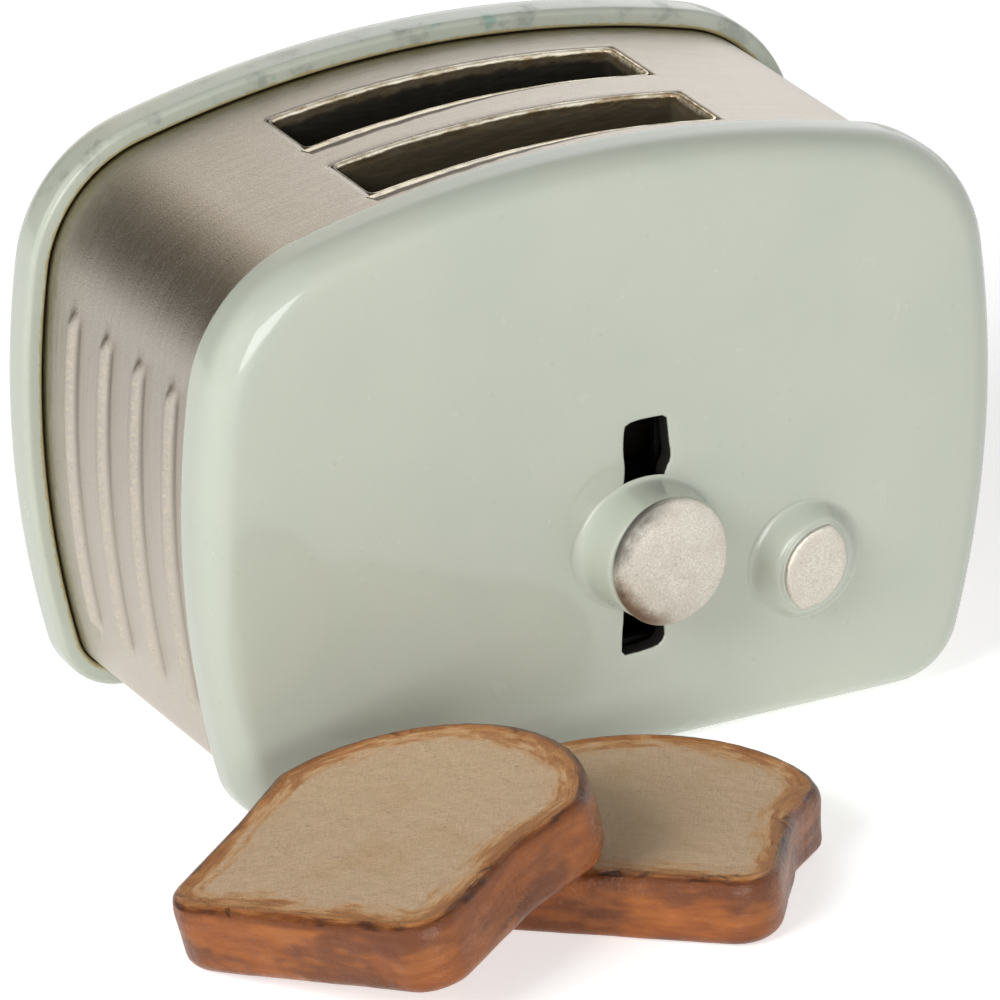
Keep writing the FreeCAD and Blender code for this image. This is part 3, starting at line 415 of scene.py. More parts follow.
def add_fixings(shell, side):
    start = FACE_Y + PAN_SHEET + WALL_GAP
    floor = BAND_INSET + BAND_SHEET + FIT_GAP
    for x in (-LUG_X, LUG_X):
        ends = sorted((side * start, side * (start + LUG_REACH)))
        add_box(shell, (x - LUG_WIDTH / 2, ends[0], floor), (x + LUG_WIDTH / 2, ends[1], floor + LUG_HEIGHT))
    for x in (-HOOK_X, HOOK_X):
        near = (abs(EDGE[:, 0] - x) < HOOK_WIDTH / 2) & (EDGE[:, 1] > BODY_HEIGHT / 2)
        strip = np.vstack([EDGE[near] - OUTWARD[near] * floor,
                           (EDGE[near] - OUTWARD[near] * (floor + HOOK_SHEET))[::-1]])
        for ring in shell.stack([upright(strip, side * y) for y in (start, start + HOOK_REACH)]):
            shell.faces += [(ring[i], ring[i + 1], ring[-2 - i], ring[-1 - i]) for i in range(near.sum() - 1)]


slot_loop = smooth_loop(LEVER_SLOT, 96)
dial_loop = circle(DIAL_HOLE, 40, DIAL_X, DIAL_Z)
front_pan = pan("front_pan", 1, [slot_loop, dial_loop])
back_pan = pan("back_pan", -1, [])

# %% [markdown]
# ## Nickel band
# The band is one strip of thin sheet. It is cut flat, with two long openings for the bread, ribs are pressed
# into both of its ends, and it is wrapped round the body with its seam under the base. The model is made in
# the same order. The blank is a flat grid whose lines run exactly along the edges of the openings; Geometry
# Nodes press the ribs and wrap the blank along the outline, because both follow a rule; Solidify then gives
# the sheet its thickness.

# %% The path that the band follows
BAND_EDGE_Y = 12.6
SEAM_GAP = 0.3
PATH_COUNTS = (80, 150, 120, 220)


def path_object(name, inset):
    """Closed path along the outline, at a distance inside it."""
    edge, outward = body_outline(PATH_COUNTS, floor_count=90)
    flat = edge - outward * inset
    curve = bpy.data.curves.new(name, "CURVE")
    curve.dimensions = "3D"
    spline = curve.splines.new("POLY")
    spline.points.add(len(flat) - 1)
    spline.points.foreach_set("co", [c for x, z in flat for c in (x * MM, 0.0, z * MM, 1.0)])
    spline.use_cyclic_u = True
    return in_scene(name, curve), flat, run_along(flat)[1]


band_path, band_edge, band_along = path_object("band_path", BAND_INSET)
BAND_LENGTH = band_along[-1]
TOP_ALONG = BAND_LENGTH / 2
BAND_ARCH = ARCH_RADIUS - BAND_INSET
print(f"the strip is {BAND_LENGTH - SEAM_GAP:.1f} mm long and {2 * BAND_EDGE_Y:.1f} mm wide")


def along_of_x(x):
    """Distance along the strip of a place on the arch. It runs from right to left there."""
    return TOP_ALONG - BAND_ARCH * math.asin(x / BAND_ARCH)


def along_of_height(z):
    """Distance along the strip of a height on the right end."""
    right = [i for i in range(len(band_edge) // 2) if band_edge[i, 0] > BODY_WIDTH / 3]
    return float(np.interp(z, band_edge[right, 1], band_along[right]))


# %% [markdown]
# The sheet doesn't stop dead at an opening. It is pressed down a little before its edge: hardly at the far
# side, and in a wavering fold about a millimetre wide at the near side, wide at the left and nearly gone at
# the right. That fold carries a dark line and a bright one along each slot, painted into the nickel as shade
# and highlight.

# %% Openings and their pressed edges
WELL_X = -0.4
WELL_Y = 4.65
SLOT_LENGTH = 25.8
SLOT_WIDTH = 5.3
WELL_SHEET = 0.3
MOUTH_GAP = 0.05
OPENING_X = SLOT_LENGTH / 2 + WELL_SHEET + MOUTH_GAP
OPENING_Y = SLOT_WIDTH / 2 + WELL_SHEET + MOUTH_GAP
FOLD_WIDTH, FOLD_DEPTH = 1.15, 0.07
FOLD_WAVER, FOLD_POWER = 0.14, 1.25
RIGHT_WIDTH_SHARE, RIGHT_DEPTH_SHARE = 0.25, 0.12
FAR_FOLD_WIDTH, FAR_FOLD_DEPTH = 0.3, 0.05


def waver(x, seed):
    """Slow waves of a hand-worked edge, between -1 and 1."""
    slow, middling, quick = np.sin(x * 0.55 + seed), np.sin(x * 1.31 + 2.1 * seed), np.sin(x * 2.9 + 3.7 * seed)
    return 0.5 * slow + 0.3 * middling + 0.2 * quick


def fold(x, y, middle_y):
    """How far the sheet is pressed down at a place on the arch beside one slot."""
    left = np.clip((WELL_X + OPENING_X - x) / (2 * OPENING_X), 0, 1)
    past_x = np.maximum(np.abs(x - WELL_X) - OPENING_X, 0)
    near, far = (np.hypot(past_x, y - (middle_y + side * OPENING_Y)) for side in (-1, 1))
    width = RIGHT_WIDTH_SHARE + (1 - RIGHT_WIDTH_SHARE) * left
    width = FOLD_WIDTH * width * (1 + FOLD_WAVER * waver(x, middle_y))
    depth = FOLD_DEPTH * (RIGHT_DEPTH_SHARE + (1 - RIGHT_DEPTH_SHARE) * left)
    near_press = depth * np.clip(1 - near / width, 0, 1) ** FOLD_POWER
    return near_press + FAR_FOLD_DEPTH * np.clip(1 - far / FAR_FOLD_WIDTH, 0, 1)


# %% Cut the blank
RIB_COUNT = 4
RIB_PITCH = 4.8
RIB_WIDTH = 1.7
RIB_RISE = 0.5
RIB_BOTTOM, RIB_TOP = 7.0, 30.0
RIB_REACH = 0.95
RIB_MARGIN, SLOT_MARGIN, FOLD_MARGIN = 0.5, 1.4, 1.2
ALONG_STEP, RIB_ALONG_STEP, SLOT_ALONG_STEP = 0.8, 0.45, 0.35
ACROSS_STEP, RIB_ACROSS_STEP, FOLD_ACROSS_STEP = 0.7, 0.19, 0.16


def grid_lines(low, high, step, fixed, fine):
    """Sorted lines from low to high. fixed lines are kept; fine holds (from, to, step) stretches."""
    marks = sorted({low, high, *fixed, *(m for part in fine for m in part[:2])})
    lines = []
    for a, b in zip(marks, marks[1:]):
        spacing = min([s for start, end, s in fine if start <= (a + b) / 2 <= end] + [step])
        lines += list(np.linspace(a, b, max(1, math.ceil((b - a) / spacing - 1e-6)), endpoint=False))
    return np.array(lines + [high])


slot_ends = [along_of_x(WELL_X - OPENING_X), along_of_x(WELL_X + OPENING_X)]
slot_sides = [s * WELL_Y + t * OPENING_Y for s in (-1, 1) for t in (-1, 1)]
rib_low, rib_high = along_of_height(RIB_BOTTOM), along_of_height(RIB_TOP)
rib_ends = (rib_low - RIB_MARGIN, rib_high + RIB_MARGIN)
along_lines = grid_lines(SEAM_GAP / 2, BAND_LENGTH - SEAM_GAP / 2, ALONG_STEP, slot_ends, [
    (*rib_ends, RIB_ALONG_STEP), (BAND_LENGTH - rib_ends[1], BAND_LENGTH - rib_ends[0], RIB_ALONG_STEP),
    (min(slot_ends) - SLOT_MARGIN, max(slot_ends) + SLOT_MARGIN, SLOT_ALONG_STEP),
])
rib_middles = [(i - (RIB_COUNT - 1) / 2) * RIB_PITCH for i in range(RIB_COUNT)]
across_lines = grid_lines(
    -BAND_EDGE_Y, BAND_EDGE_Y, ACROSS_STEP, slot_sides,
    [(middle - RIB_REACH, middle + RIB_REACH, RIB_ACROSS_STEP) for middle in rib_middles]
    + [(side - FOLD_WIDTH * FOLD_MARGIN, side + FAR_FOLD_WIDTH, FOLD_ACROSS_STEP) for side in slot_sides],
)


def blank():
    """Flat strip: x is the distance along it, y the depth, z the fold at the slots."""
    s, y = np.meshgrid(along_lines, across_lines, indexing="ij")
    x = BAND_ARCH * np.sin((TOP_ALONG - s) / BAND_ARCH)
    on_top = np.abs(s - TOP_ALONG) < BODY_WIDTH / 3
    height = -np.where(on_top, fold(x, y, -WELL_Y) + fold(x, y, WELL_Y), 0)
    points = np.column_stack([s.ravel(), y.ravel(), height.ravel()]) * MM
    rows = len(across_lines)
    faces = []
    for i in range(len(along_lines) - 1):
        middle_s = (along_lines[i] + along_lines[i + 1]) / 2
        for j in range(rows - 1):
            middle_y = (across_lines[j] + across_lines[j + 1]) / 2
            in_slot = abs(abs(middle_y) - WELL_Y) < OPENING_Y
            if not (in_slot and slot_ends[1] < middle_s < slot_ends[0]):
                a = i * rows + j
                faces.append((a, a + rows, a + rows + 1, a + 1))
    used = sorted({number for face in faces for number in face})
    renumbered = {old: new for new, old in enumerate(used)}
    mesh = bpy.data.meshes.new("band_blank")
    mesh.from_pydata(points[used].tolist(), [], [tuple(renumbered[n] for n in face) for face in faces])
    grain = mesh.uv_layers.new(name="grain")
    corners = np.empty(len(mesh.loops), int)
    mesh.loops.foreach_get("vertex_index", corners)
    grain.data.foreach_set("uv", (points[used][corners, :2] / MM).ravel())
    return mesh


# %% [markdown]
# Both the Geometry Nodes and the finishes further on are sums and products of values that nodes put out. A
# small class lets them be written as plain sums: adding two values makes an Add node in their tree.

# %% Helpers for node trees
class Value:
    """Something that a node puts out."""

    def __init__(self, tree, socket):
        self.tree, self.socket = tree, socket

    def maths(self, operation, other=0.0):
        return node(self.tree, "ShaderNodeMath", {0: self, 1: other}, operation=operation)[0]

    def swapped(self, operation, other):
        """For a plain number that stands in front, as in 1 - value."""
        return node(self.tree, "ShaderNodeMath", {0: other, 1: self}, operation=operation)[0]

    __add__ = partialmethod(maths, "ADD")
    __sub__ = partialmethod(maths, "SUBTRACT")
    __mul__ = partialmethod(maths, "MULTIPLY")
    __truediv__ = partialmethod(maths, "DIVIDE")
    __pow__ = partialmethod(maths, "POWER")
    __abs__ = partialmethod(maths, "ABSOLUTE")
    __rsub__ = partialmethod(swapped, "SUBTRACT")
    __rtruediv__ = partialmethod(swapped, "DIVIDE")


class Outputs:
    """All that a node puts out, by name or number."""

    def __init__(self, tree, made):
        self.tree, self.made = tree, made

    def __getitem__(self, key):
        return Value(self.tree, self.made.outputs[key])


def feed(tree, made, links):
    """Gives a node its inputs, by name or number: a value from another node, or a plain one."""
    for socket, value in links.items():
        if isinstance(value, Value):
            tree.links.new(value.socket, made.inputs[socket])
        else:
            made.inputs[socket].default_value = value
    return Outputs(tree, made)


def node(tree, kind, links, **settings):
    """Makes a node with its settings and inputs, and gives back its outputs."""
    made = tree.nodes.new(kind)
    for name, value in settings.items():
        setattr(made, name, value)
    return feed(tree, made, links)


def parts(vector):
    return node(vector.tree, "ShaderNodeSeparateXYZ", {0: vector})


def vector_maths(operation, vector, other=(0, 0, 0)):
    return node(vector.tree, "ShaderNodeVectorMath", {0: vector, 1: other}, operation=operation)


def scaled(vector, scale):
    return node(vector.tree, "ShaderNodeVectorMath", {0: vector, "Scale": scale}, operation="SCALE")[0]


def between(value, low, high, to_low=0.0, to_high=1.0, curve="SMOOTHSTEP"):
    """Smooth step from one level to another."""
    return node(value.tree, "ShaderNodeMapRange", {
        "Value": value, "From Min": low, "From Max": high, "To Min": to_low, "To Max": to_high,
    }, interpolation_type=curve)[0]


def new_group(name, kind, inputs):
    """Tree with named inputs. Gives back the tree and what its inputs put out."""
    tree = bpy.data.node_groups.new(name, kind)
    for socket_name, socket_kind in inputs.items():
        tree.interface.new_socket(socket_name, in_out="INPUT", socket_type=f"NodeSocket{socket_kind}")
    return tree, Outputs(tree, tree.nodes.new("NodeGroupInput"))


def end_geometry_tree(tree, given, geometry):
    """Ends a tree in Realize Instances and Set Material."""
    tree.interface.new_socket("Geometry", in_out="OUTPUT", socket_type="NodeSocketGeometry")
    real = node(tree, "GeometryNodeRealizeInstances", {"Geometry": geometry})[0]
    dressed = node(tree, "GeometryNodeSetMaterial", {"Geometry": real, "Material": given["Material"]})[0]
    node(tree, "NodeGroupOutput", {0: dressed})
    return tree


def grown_by_tree(name, mesh, tree, values):
    """Runs a tree on a mesh and gives back the plain result as an object."""
    source = in_scene(name, mesh)
    modifier = source.modifiers.new("grow", "NODES")
    modifier.node_group = tree
    for item in tree.interface.items_tree:
        if item.in_out == "INPUT" and item.name in values:
            modifier[item.identifier] = values[item.name]
    graph = bpy.context.evaluated_depsgraph_get()
    graph.update()
    plain = bpy.data.meshes.new_from_object(source.evaluated_get(graph))
    source.modifiers.remove(modifier)
    source.data = plain
    plain.name = name
    return source


# %% [markdown]
# The tree takes the blank and a path. Each point's rib height is a rule of its distance to the nearest rib's
# middle line: a smooth mound with ends that run out slowly. Then the point goes to the place on the path that
# its distance along the strip names, with the mound standing out along the path's outward direction.

# %% Press the ribs and wrap the strip
RIB_END_STRETCH = 0.62


def wrap_tree():
    tree, given = new_group("press_and_wrap", "GeometryNodeTree", {
        "Geometry": "Geometry", "Path": "Object", "Path Length": "Float", "Rib Pitch": "Float",
        "Rib Count": "Int", "Rib Width": "Float", "Rib Rise": "Float", "Rib Start": "Float", "Rib End": "Float",
        "Material": "Material",
    })
    along, depth, height = parts(node(tree, "GeometryNodeInputPosition", {})[0])
    mirrored = along.maths("MINIMUM", given["Path Length"] - along)
    middle = (given["Rib Start"] + given["Rib End"]) * 0.5
    half = given["Rib Width"] * 0.5
    reach = middle - given["Rib Start"] - half
    past_end = (abs(mirrored - middle) - reach).maths("MAXIMUM", 0.0) * RIB_END_STRETCH
    steps = depth / given["Rib Pitch"]
    last = (given["Rib Count"] - 1.0) * 0.5
    nearest_step = ((steps - 0.5).maths("ROUND") + 0.5).maths("MINIMUM", last).maths("MAXIMUM", last * -1.0)
    beside = (steps - nearest_step) * given["Rib Pitch"]
    away = (beside ** 2.0 + past_end ** 2.0).maths("SQRT")
    rise = between(away / half, 0.02, 1.1, 1.0, 0.0, "SMOOTHERSTEP") * given["Rib Rise"]

    path = node(tree, "GeometryNodeObjectInfo", {"Object": given["Path"]}, transform_space="ORIGINAL")
    sample = node(tree, "GeometryNodeSampleCurve", {"Curves": path["Geometry"], "Length": along}, mode="LENGTH")
    inward = vector_maths("CROSS_PRODUCT", sample["Tangent"], (0.0, -1.0, 0.0))[0]
    out = scaled(vector_maths("NORMALIZE", inward)[0], height + rise)
    sideways = node(tree, "ShaderNodeCombineXYZ", {"Y": depth})[0]
    target = vector_maths("ADD", vector_maths("ADD", sample["Position"], sideways)[0], out)[0]
    moved = node(tree, "GeometryNodeSetPosition", {"Geometry": given["Geometry"], "Position": target})[0]
    return end_geometry_tree(tree, given, moved)


nickel = bpy.data.materials.new("brushed nickel")
nickel_band = grown_by_tree("nickel_band", blank(), wrap_tree(), {
    "Path": band_path, "Path Length": BAND_LENGTH * MM, "Rib Pitch": RIB_PITCH * MM, "Rib Count": RIB_COUNT,
    "Rib Width": RIB_WIDTH * MM, "Rib Rise": RIB_RISE * MM, "Rib Start": rib_low * MM, "Rib End": rib_high * MM,
    "Material": nickel,
})
finished_mesh(nickel_band.data, 50, weld=0.0005)
bpy.data.objects.remove(band_path)

# %% Turn the sheet outwards and give it its thickness
mesh = nickel_band.data
middle = Vector((0, 0, BODY_HEIGHT / 2 * MM))
if sum(p.area * p.normal.dot(p.center - middle) for p in mesh.polygons) < 0:
    mesh.flip_normals()
    print("the band is turned over")
sheet = nickel_band.modifiers.new("sheet", "SOLIDIFY")
sheet.thickness = BAND_SHEET * MM
sheet.offset = -1
sheet.use_even_offset = False

# %% [markdown]
# ## Linings of the bread slots
# Each slot is lined with smooth plated sheet. At the mouth the sheet is rolled over towards the band, and
# the roll isn't even: it swells and narrows along the slot, reaches deeper at both ends and shines. Below it
# the wall drops into the dark. The lining is a stack of rings that follow the slot's oblong, up the inside,
# over the roll and down the outside. Both long walls have an upright gap for the arm that lifts the bread.

# %% Make the linings
SLOT_CORNER = 0.5
ROLL_OUT, ROLL_DOWN, END_ROLL_DOWN, ROLL_WAVER = 0.25, 0.34, 0.95, 0.2
WELL_FLOOR = 2.1
ARM_X, ARM_HALF_GAP = LEVER_X, 1.1
ARM_GAP_LOW, ARM_GAP_HIGH = 5.2, 20.9
UP_THE_INSIDE = [
    (WELL_FLOOR + WELL_SHEET, 30.0), (ARM_GAP_LOW, 30.0), (ARM_GAP_HIGH, 20.0),
    (28.0, 12.0), (34.0, 6.0), (38.0, 3.0),
]
BELOW_THE_ROLL = (1.6, 1.0, 0.6, 0.3, 0.12)
DOWN_THE_OUTSIDE = [
    (38.0, 20.0), (34.0, 20.0), (28.0, 20.0), (ARM_GAP_HIGH, 20.0), (ARM_GAP_LOW, 20.0), (WELL_FLOOR, 30.0),
]
LINING_SHARP = 45
MARK_SPACING = 0.25


def oblong(half_x, half_y, corner, gap_marks):
    """Oblong loop with round corners, with points at the marks on its long sides."""
    loop = []
    for cx, cy, start in ((1, 1, 0), (-1, 1, 90), (-1, -1, 180), (1, -1, 270)):
        middle = np.array([cx * (half_x - corner), cy * (half_y - corner)])
        for angle in np.radians(np.linspace(start, start + 90, 6)):
            loop.append(middle + np.array([corner * math.cos(angle), corner * math.sin(angle)]))
        if start in (0, 180):
            marks = [m for m in np.linspace(-1, 1, 60)[1:-1] * (half_x - corner)
                     if min(abs(m - g) for g in gap_marks) > MARK_SPACING]
            loop += [(m, cy * half_y) for m in sorted(marks + list(gap_marks), reverse=start == 0)]
    return np.array(loop)


def lining(name, middle_y, seed):
    marks = (ARM_X - WELL_X - ARM_HALF_GAP, ARM_X - WELL_X + ARM_HALF_GAP)
    inner = oblong(SLOT_LENGTH / 2, SLOT_WIDTH / 2, SLOT_CORNER, marks) + (WELL_X, middle_y)
    outward = loop_outward(inner)
    outward[np.abs(np.abs(inner[:, 1] - middle_y) - SLOT_WIDTH / 2) < 1e-6] *= (0, 1)
    outward /= np.linalg.norm(outward, axis=1)[:, None]
    x, y = (inner + outward * (WELL_SHEET + MOUTH_GAP)).T
    top = BODY_HEIGHT - ARCH_RADIUS + np.sqrt(BAND_ARCH ** 2 - x ** 2) - fold(x, y, middle_y)
    swell = 1 + ROLL_WAVER * waver(inner[:, 0] * 1.4 + 3 * inner[:, 1], seed)
    at_end = np.abs(outward[:, 0]) * (1 - ((inner[:, 1] - middle_y) / (SLOT_WIDTH / 2)) ** 2)
    roll_down = (ROLL_DOWN + (END_ROLL_DOWN - ROLL_DOWN) * at_end) * swell

    def ring(out, height):
        return lying(inner + outward * np.asarray(out)[..., None], height)

    rings = [(ring(0.0, z), depth) for z, depth in UP_THE_INSIDE]
    rings += [(ring(0.0, top - roll_down - drop), 1 + drop) for drop in BELOW_THE_ROLL]
    rings += [(ring(ROLL_OUT * swell * gained, top - roll_down * left), left) for left, gained in quarter(9)]
    rings += [(ring(WELL_SHEET, top - 0.02), 0.02)]
    rings += [(ring(WELL_SHEET, z), depth) for z, depth in DOWN_THE_OUTSIDE]
    shell = Shell()
    numbered = shell.stack([r for r, _ in rings], depth=[depth for _, depth in rings])
    for ends, height in ((numbered[0], WELL_FLOOR + WELL_SHEET), (numbered[-1], WELL_FLOOR)):
        shell.close(ends, (WELL_X, middle_y, height), depth=30.0)
    return cut_arm_gaps(piece(name, shell, sharp_degrees=LINING_SHARP))


def cut_arm_gaps(made):
    """Opens both long walls for the lift arm and joins the inner and outer skins round the gaps."""
    work = bmesh.new()
    work.from_mesh(made.data)
    gone = []
    for face in work.faces:
        at = face.calc_center_median() / MM
        if abs(at.x - ARM_X) < ARM_HALF_GAP and ARM_GAP_LOW < at.z < ARM_GAP_HIGH:
            gone.append(face)
    bmesh.ops.delete(work, geom=gone, context="FACES")
    middle = sum(v.co.y for v in work.verts) / len(work.verts)
    for side in (-1, 1):
        edges = [e for e in work.edges if e.is_boundary and (e.verts[0].co.y - middle) * side > 0]
        bmesh.ops.bridge_loops(work, edges=edges)
    bmesh.ops.recalc_face_normals(work, faces=work.faces)
    print(made.name, "has", sum(1 for e in work.edges if e.is_boundary), "open edges after its gaps are cut")
    work.to_mesh(made.data)
    work.free()
    made.data.set_sharp_from_angle(angle=math.radians(LINING_SHARP))
    return made


front_lining = lining("front_slot_lining", -WELL_Y, 1.0)
rear_lining = lining("rear_slot_lining", WELL_Y, 2.6)

# %% [markdown]
# ## Lever knob and dial
# Knob and dial are turned pieces that look as if they grow out of the pan: paint has filled the corner at
# their feet. Each carries a plate of silver that isn't quite true. A turned shape is a stack of circles; for
# the dial the circles change into a lens, which is two equal arcs that meet in blunt tips.

# %% Knob with its plate
TURNED_POINTS = 96
KNOB_BACK = -15.82
KNOB_PROFILE = [
    (5.6, KNOB_BACK), (5.52, -15.828), (5.4, -15.845), (5.28, -15.885), (5.16, -15.96), (5.05, -16.08),
    (4.97, -16.25), (4.89, -16.48), (4.80, -16.8), (4.73, -17.2), (4.66, -17.7), (4.60, -18.2), (4.55, -18.6),
    (4.51, -18.82), (4.46, -18.94), (4.36, -19.0),
]
FOOT_FLATTENED, FRONT_FLATTENED = 0.865, 0.985
CAP_BACK, CAP_FRONT = -19.0, -19.845
CAP_PROFILE = [
    (4.26, CAP_BACK), (4.40, -19.08), (4.46, -19.22), (4.42, -19.36), (4.28, -19.50), (4.02, -19.61),
    (3.55, -19.69), (2.9, -19.75), (2.1, -19.8), (1.1, -19.835),
]
CAP_STRETCH, CAP_UNEVEN = (0.98, 1.035), 0.012


def turned(name, rings, centre, front_y):
    """Piece from loops round a centre, each with its depth, closed at its first depth and at front_y."""
    shell = Shell()
    numbered = shell.stack([upright(loop + centre, y) for loop, y in rings])
    shell.close(numbered[0], (centre[0], rings[0][1], centre[1]))
    shell.close(numbered[-1], (centre[0], front_y, centre[1]))
    return piece(name, shell, sharp_degrees=60)


true_circle = circle(1.0, TURNED_POINTS)
knob_rings = []
for size, y in KNOB_PROFILE:
    forward = math.sqrt((y - KNOB_BACK) / (CAP_BACK - KNOB_BACK))
    flattened = FOOT_FLATTENED + (FRONT_FLATTENED - FOOT_FLATTENED) * forward
    knob_rings.append((true_circle * (1.0, flattened) * size, y))
knob = turned("knob_skirt", knob_rings, (LEVER_X, LEVER_Z), CAP_BACK)
angles = np.linspace(0, 2 * math.pi, TURNED_POINTS, endpoint=False)
wobble = 1 - CAP_UNEVEN * (1 + (np.sin(2 * angles + 0.7) + np.sin(5 * angles + 1.4)) / 2)
cap_loop = true_circle * wobble[:, None] * CAP_STRETCH
cap = turned("knob_plate", [(cap_loop * size, y) for size, y in CAP_PROFILE], (LEVER_X, LEVER_Z), CAP_FRONT)

# %% Dial with its lens
LENS_HALF_LENGTH, LENS_HALF_WIDTH = 3.12, 2.32
LENS_BORDER = 0.2
LENS_TURN = math.radians(20.7)
LENS_BACK, LENS_FRONT = -17.25, -17.545
LENS_PROFILE = [
    (0.95, LENS_BACK), (0.995, -17.3), (0.99, -17.38), (0.95, -17.46), (0.88, -17.5), (0.7, -17.525),
    (0.4, -17.54),
]
BOSS_FOOT = 4.35
BOSS_FRONT = -17.12
BOSS_STEPS = 15


def lens_loop(count):
    """Lens with its long axis turned to the right, round its middle."""
    radius = (LENS_HALF_LENGTH ** 2 + LENS_HALF_WIDTH ** 2) / (2 * LENS_HALF_WIDTH)
    offset = radius - LENS_HALF_WIDTH
    loop = []
    for x, z in circle(1.0, count):
        lean = -offset * abs(x * math.cos(LENS_TURN) - z * math.sin(LENS_TURN))
        reach = lean + math.sqrt(lean ** 2 + radius ** 2 - offset ** 2)
        loop.append((x * reach, z * reach))
    return np.array(loop)


lens = lens_loop(TURNED_POINTS)
lens_border = lens * (1 + LENS_BORDER / LENS_HALF_WIDTH)
boss_rings = []
for share in np.linspace(0, 1, BOSS_STEPS):
    mixed = true_circle * BOSS_FOOT * (1 - share) + lens_border * share
    boss_rings.append((mixed, KNOB_BACK + (BOSS_FRONT - KNOB_BACK) * share ** 2 * (3 - 2 * share)))
boss_rings += [(lens_border * 0.985, -17.2), (lens_border * 0.93, LENS_BACK)]
dial = turned("dial_boss", boss_rings, (DIAL_X, DIAL_Z), LENS_BACK)
dial_lens = turned("dial_plate", [(lens * size, y) for size, y in LENS_PROFILE], (DIAL_X, DIAL_Z), LENS_FRONT)

# %% [markdown]
# ## Base screws
# Four countersunk screws with cross recesses hold the base plate. One screw is made, with its recess, its
# cone and the ridges of its thread, and Geometry Nodes place it on four points, each turned by chance from a
# fixed seed, as screws end up when they are driven home.

# %% One screw
SCREW_HEAD, SCREW_SHANK, SCREW_LENGTH = 1.42, 0.78, 4.9
HEAD_EDGE, HEAD_RISE = 0.03, 0.04
THREAD_DEPTH, THREAD_STEPS, THREAD_STOPS = 0.12, 20, 0.6
TIP, TIP_ROUND = 0.15, 0.02
SCREW_SIDES = 40
RECESS_HALF, RECESS_BLADE, RECESS_DEPTH, RECESS_TAPER = 0.78, 0.2, 0.4, 0.12
SCREW_PLACES = [(x, y) for x in (-19.5, 19.5) for y in (-9.2, 9.2)]
SCREW_SEED = 4


def screw_shell():
    """Countersunk screw standing on its head at the origin, point upwards."""
    shell = Shell()
    a, b = RECESS_HALF, RECESS_BLADE
    cross = np.array([
        (a, -b), (a, b), (b, b), (b, a), (-b, a), (-b, b),
        (-a, b), (-a, -b), (-b, -b), (-b, -a), (b, -a), (b, -b),
    ])
    head = circle(SCREW_HEAD - HEAD_EDGE, SCREW_SIDES)
    filled(shell, head, [cross], 0.5, lambda flat: lying(flat, 0.0))
    wall = shell.stack([lying(cross * (1 - RECESS_TAPER * t), t * RECESS_DEPTH) for t in (0, 1)])
    shell.faces.append(tuple(wall[-1]))
    cone = SCREW_HEAD - SCREW_SHANK
    profile = [(SCREW_HEAD - HEAD_EDGE, 0.0), (SCREW_HEAD, HEAD_RISE), (SCREW_SHANK, cone)]
    for i, z in enumerate(np.linspace(cone + TIP, SCREW_LENGTH - THREAD_STOPS, THREAD_STEPS)):
        profile.append((SCREW_SHANK - (THREAD_DEPTH if i % 2 else 0.0), z))
    profile.append((TIP, SCREW_LENGTH - TIP_ROUND))
    rings = shell.stack([lying(circle(r, SCREW_SIDES), z) for r, z in profile])
    shell.close(rings[-1], (0, 0, SCREW_LENGTH))
    return shell


def place_tree():
    tree, given = new_group("place_screws", "GeometryNodeTree", {
        "Geometry": "Geometry", "Screw": "Object", "Seed": "Int", "Material": "Material"})
    screw = node(tree, "GeometryNodeObjectInfo", {"Object": given["Screw"], "As Instance": True})
    turn = node(tree, "FunctionNodeRandomValue", {
        0: (0.0, 0.0, 0.0), 1: (0.0, 0.0, math.pi / 2), "Seed": given["Seed"]}, data_type="FLOAT_VECTOR")
    points = node(tree, "GeometryNodeMeshToPoints", {"Mesh": given["Geometry"]})
    placed = node(tree, "GeometryNodeInstanceOnPoints", {
        "Points": points[0], "Instance": screw["Geometry"], "Rotation": turn[0]})
    return end_geometry_tree(tree, given, placed[0])


screw_steel = bpy.data.materials.new("screw steel")
one_screw = piece("one_screw", screw_shell(), sharp_degrees=30)
spots = bpy.data.meshes.new("screw_spots")
spots.from_pydata([(x * MM, y * MM, 0.0) for x, y in SCREW_PLACES], [], [])
screws = grown_by_tree(
    "cross_screws", spots, place_tree(), {"Screw": one_screw, "Seed": SCREW_SEED, "Material": screw_steel})
bpy.data.objects.remove(one_screw)
print(len(SCREW_PLACES), "screws,", len(screws.data.polygons), "faces")

# %% [markdown]
# ## Slices of bread
# The slices are cast in resin and painted. Each has the shape of a tin loaf's slice: a straight foot, a slight
# waist, two ears and a domed top. A slice is a stack of rings again, but its surface is worked over: the cut
# face dips inside a raised crust, the crust swells between its edges, and soft knocks run over everything. The
# rings keep values for the paint: how far a point is from the edge, and its place on a circle as long as the
# outline, so that a brush stroke can follow the edge all the way round without a seam.

# %% Outline of a slice
FLAT = {
    "foot": 20.9, "waist": 20.2, "ears": 22.4, "height": 22.8, "waist_up": 11.2, "ear_up": 15.6,
    "shoulder_up": 18.0, "thickness": 4.85, "left_fuller": 0.0,
}
LEANING = {
    "foot": 22.5, "waist": 22.2, "ears": 25.0, "height": 25.3, "waist_up": 10.8, "ear_up": 16.8,
    "shoulder_up": 19.3, "thickness": 5.15, "left_fuller": 0.7,
}
SHOULDER_INSET = 1.2
CORNER_ROUNDS = [3.3, 5.0, 2.1, 3.4]  # foot, waist, ear, shoulder


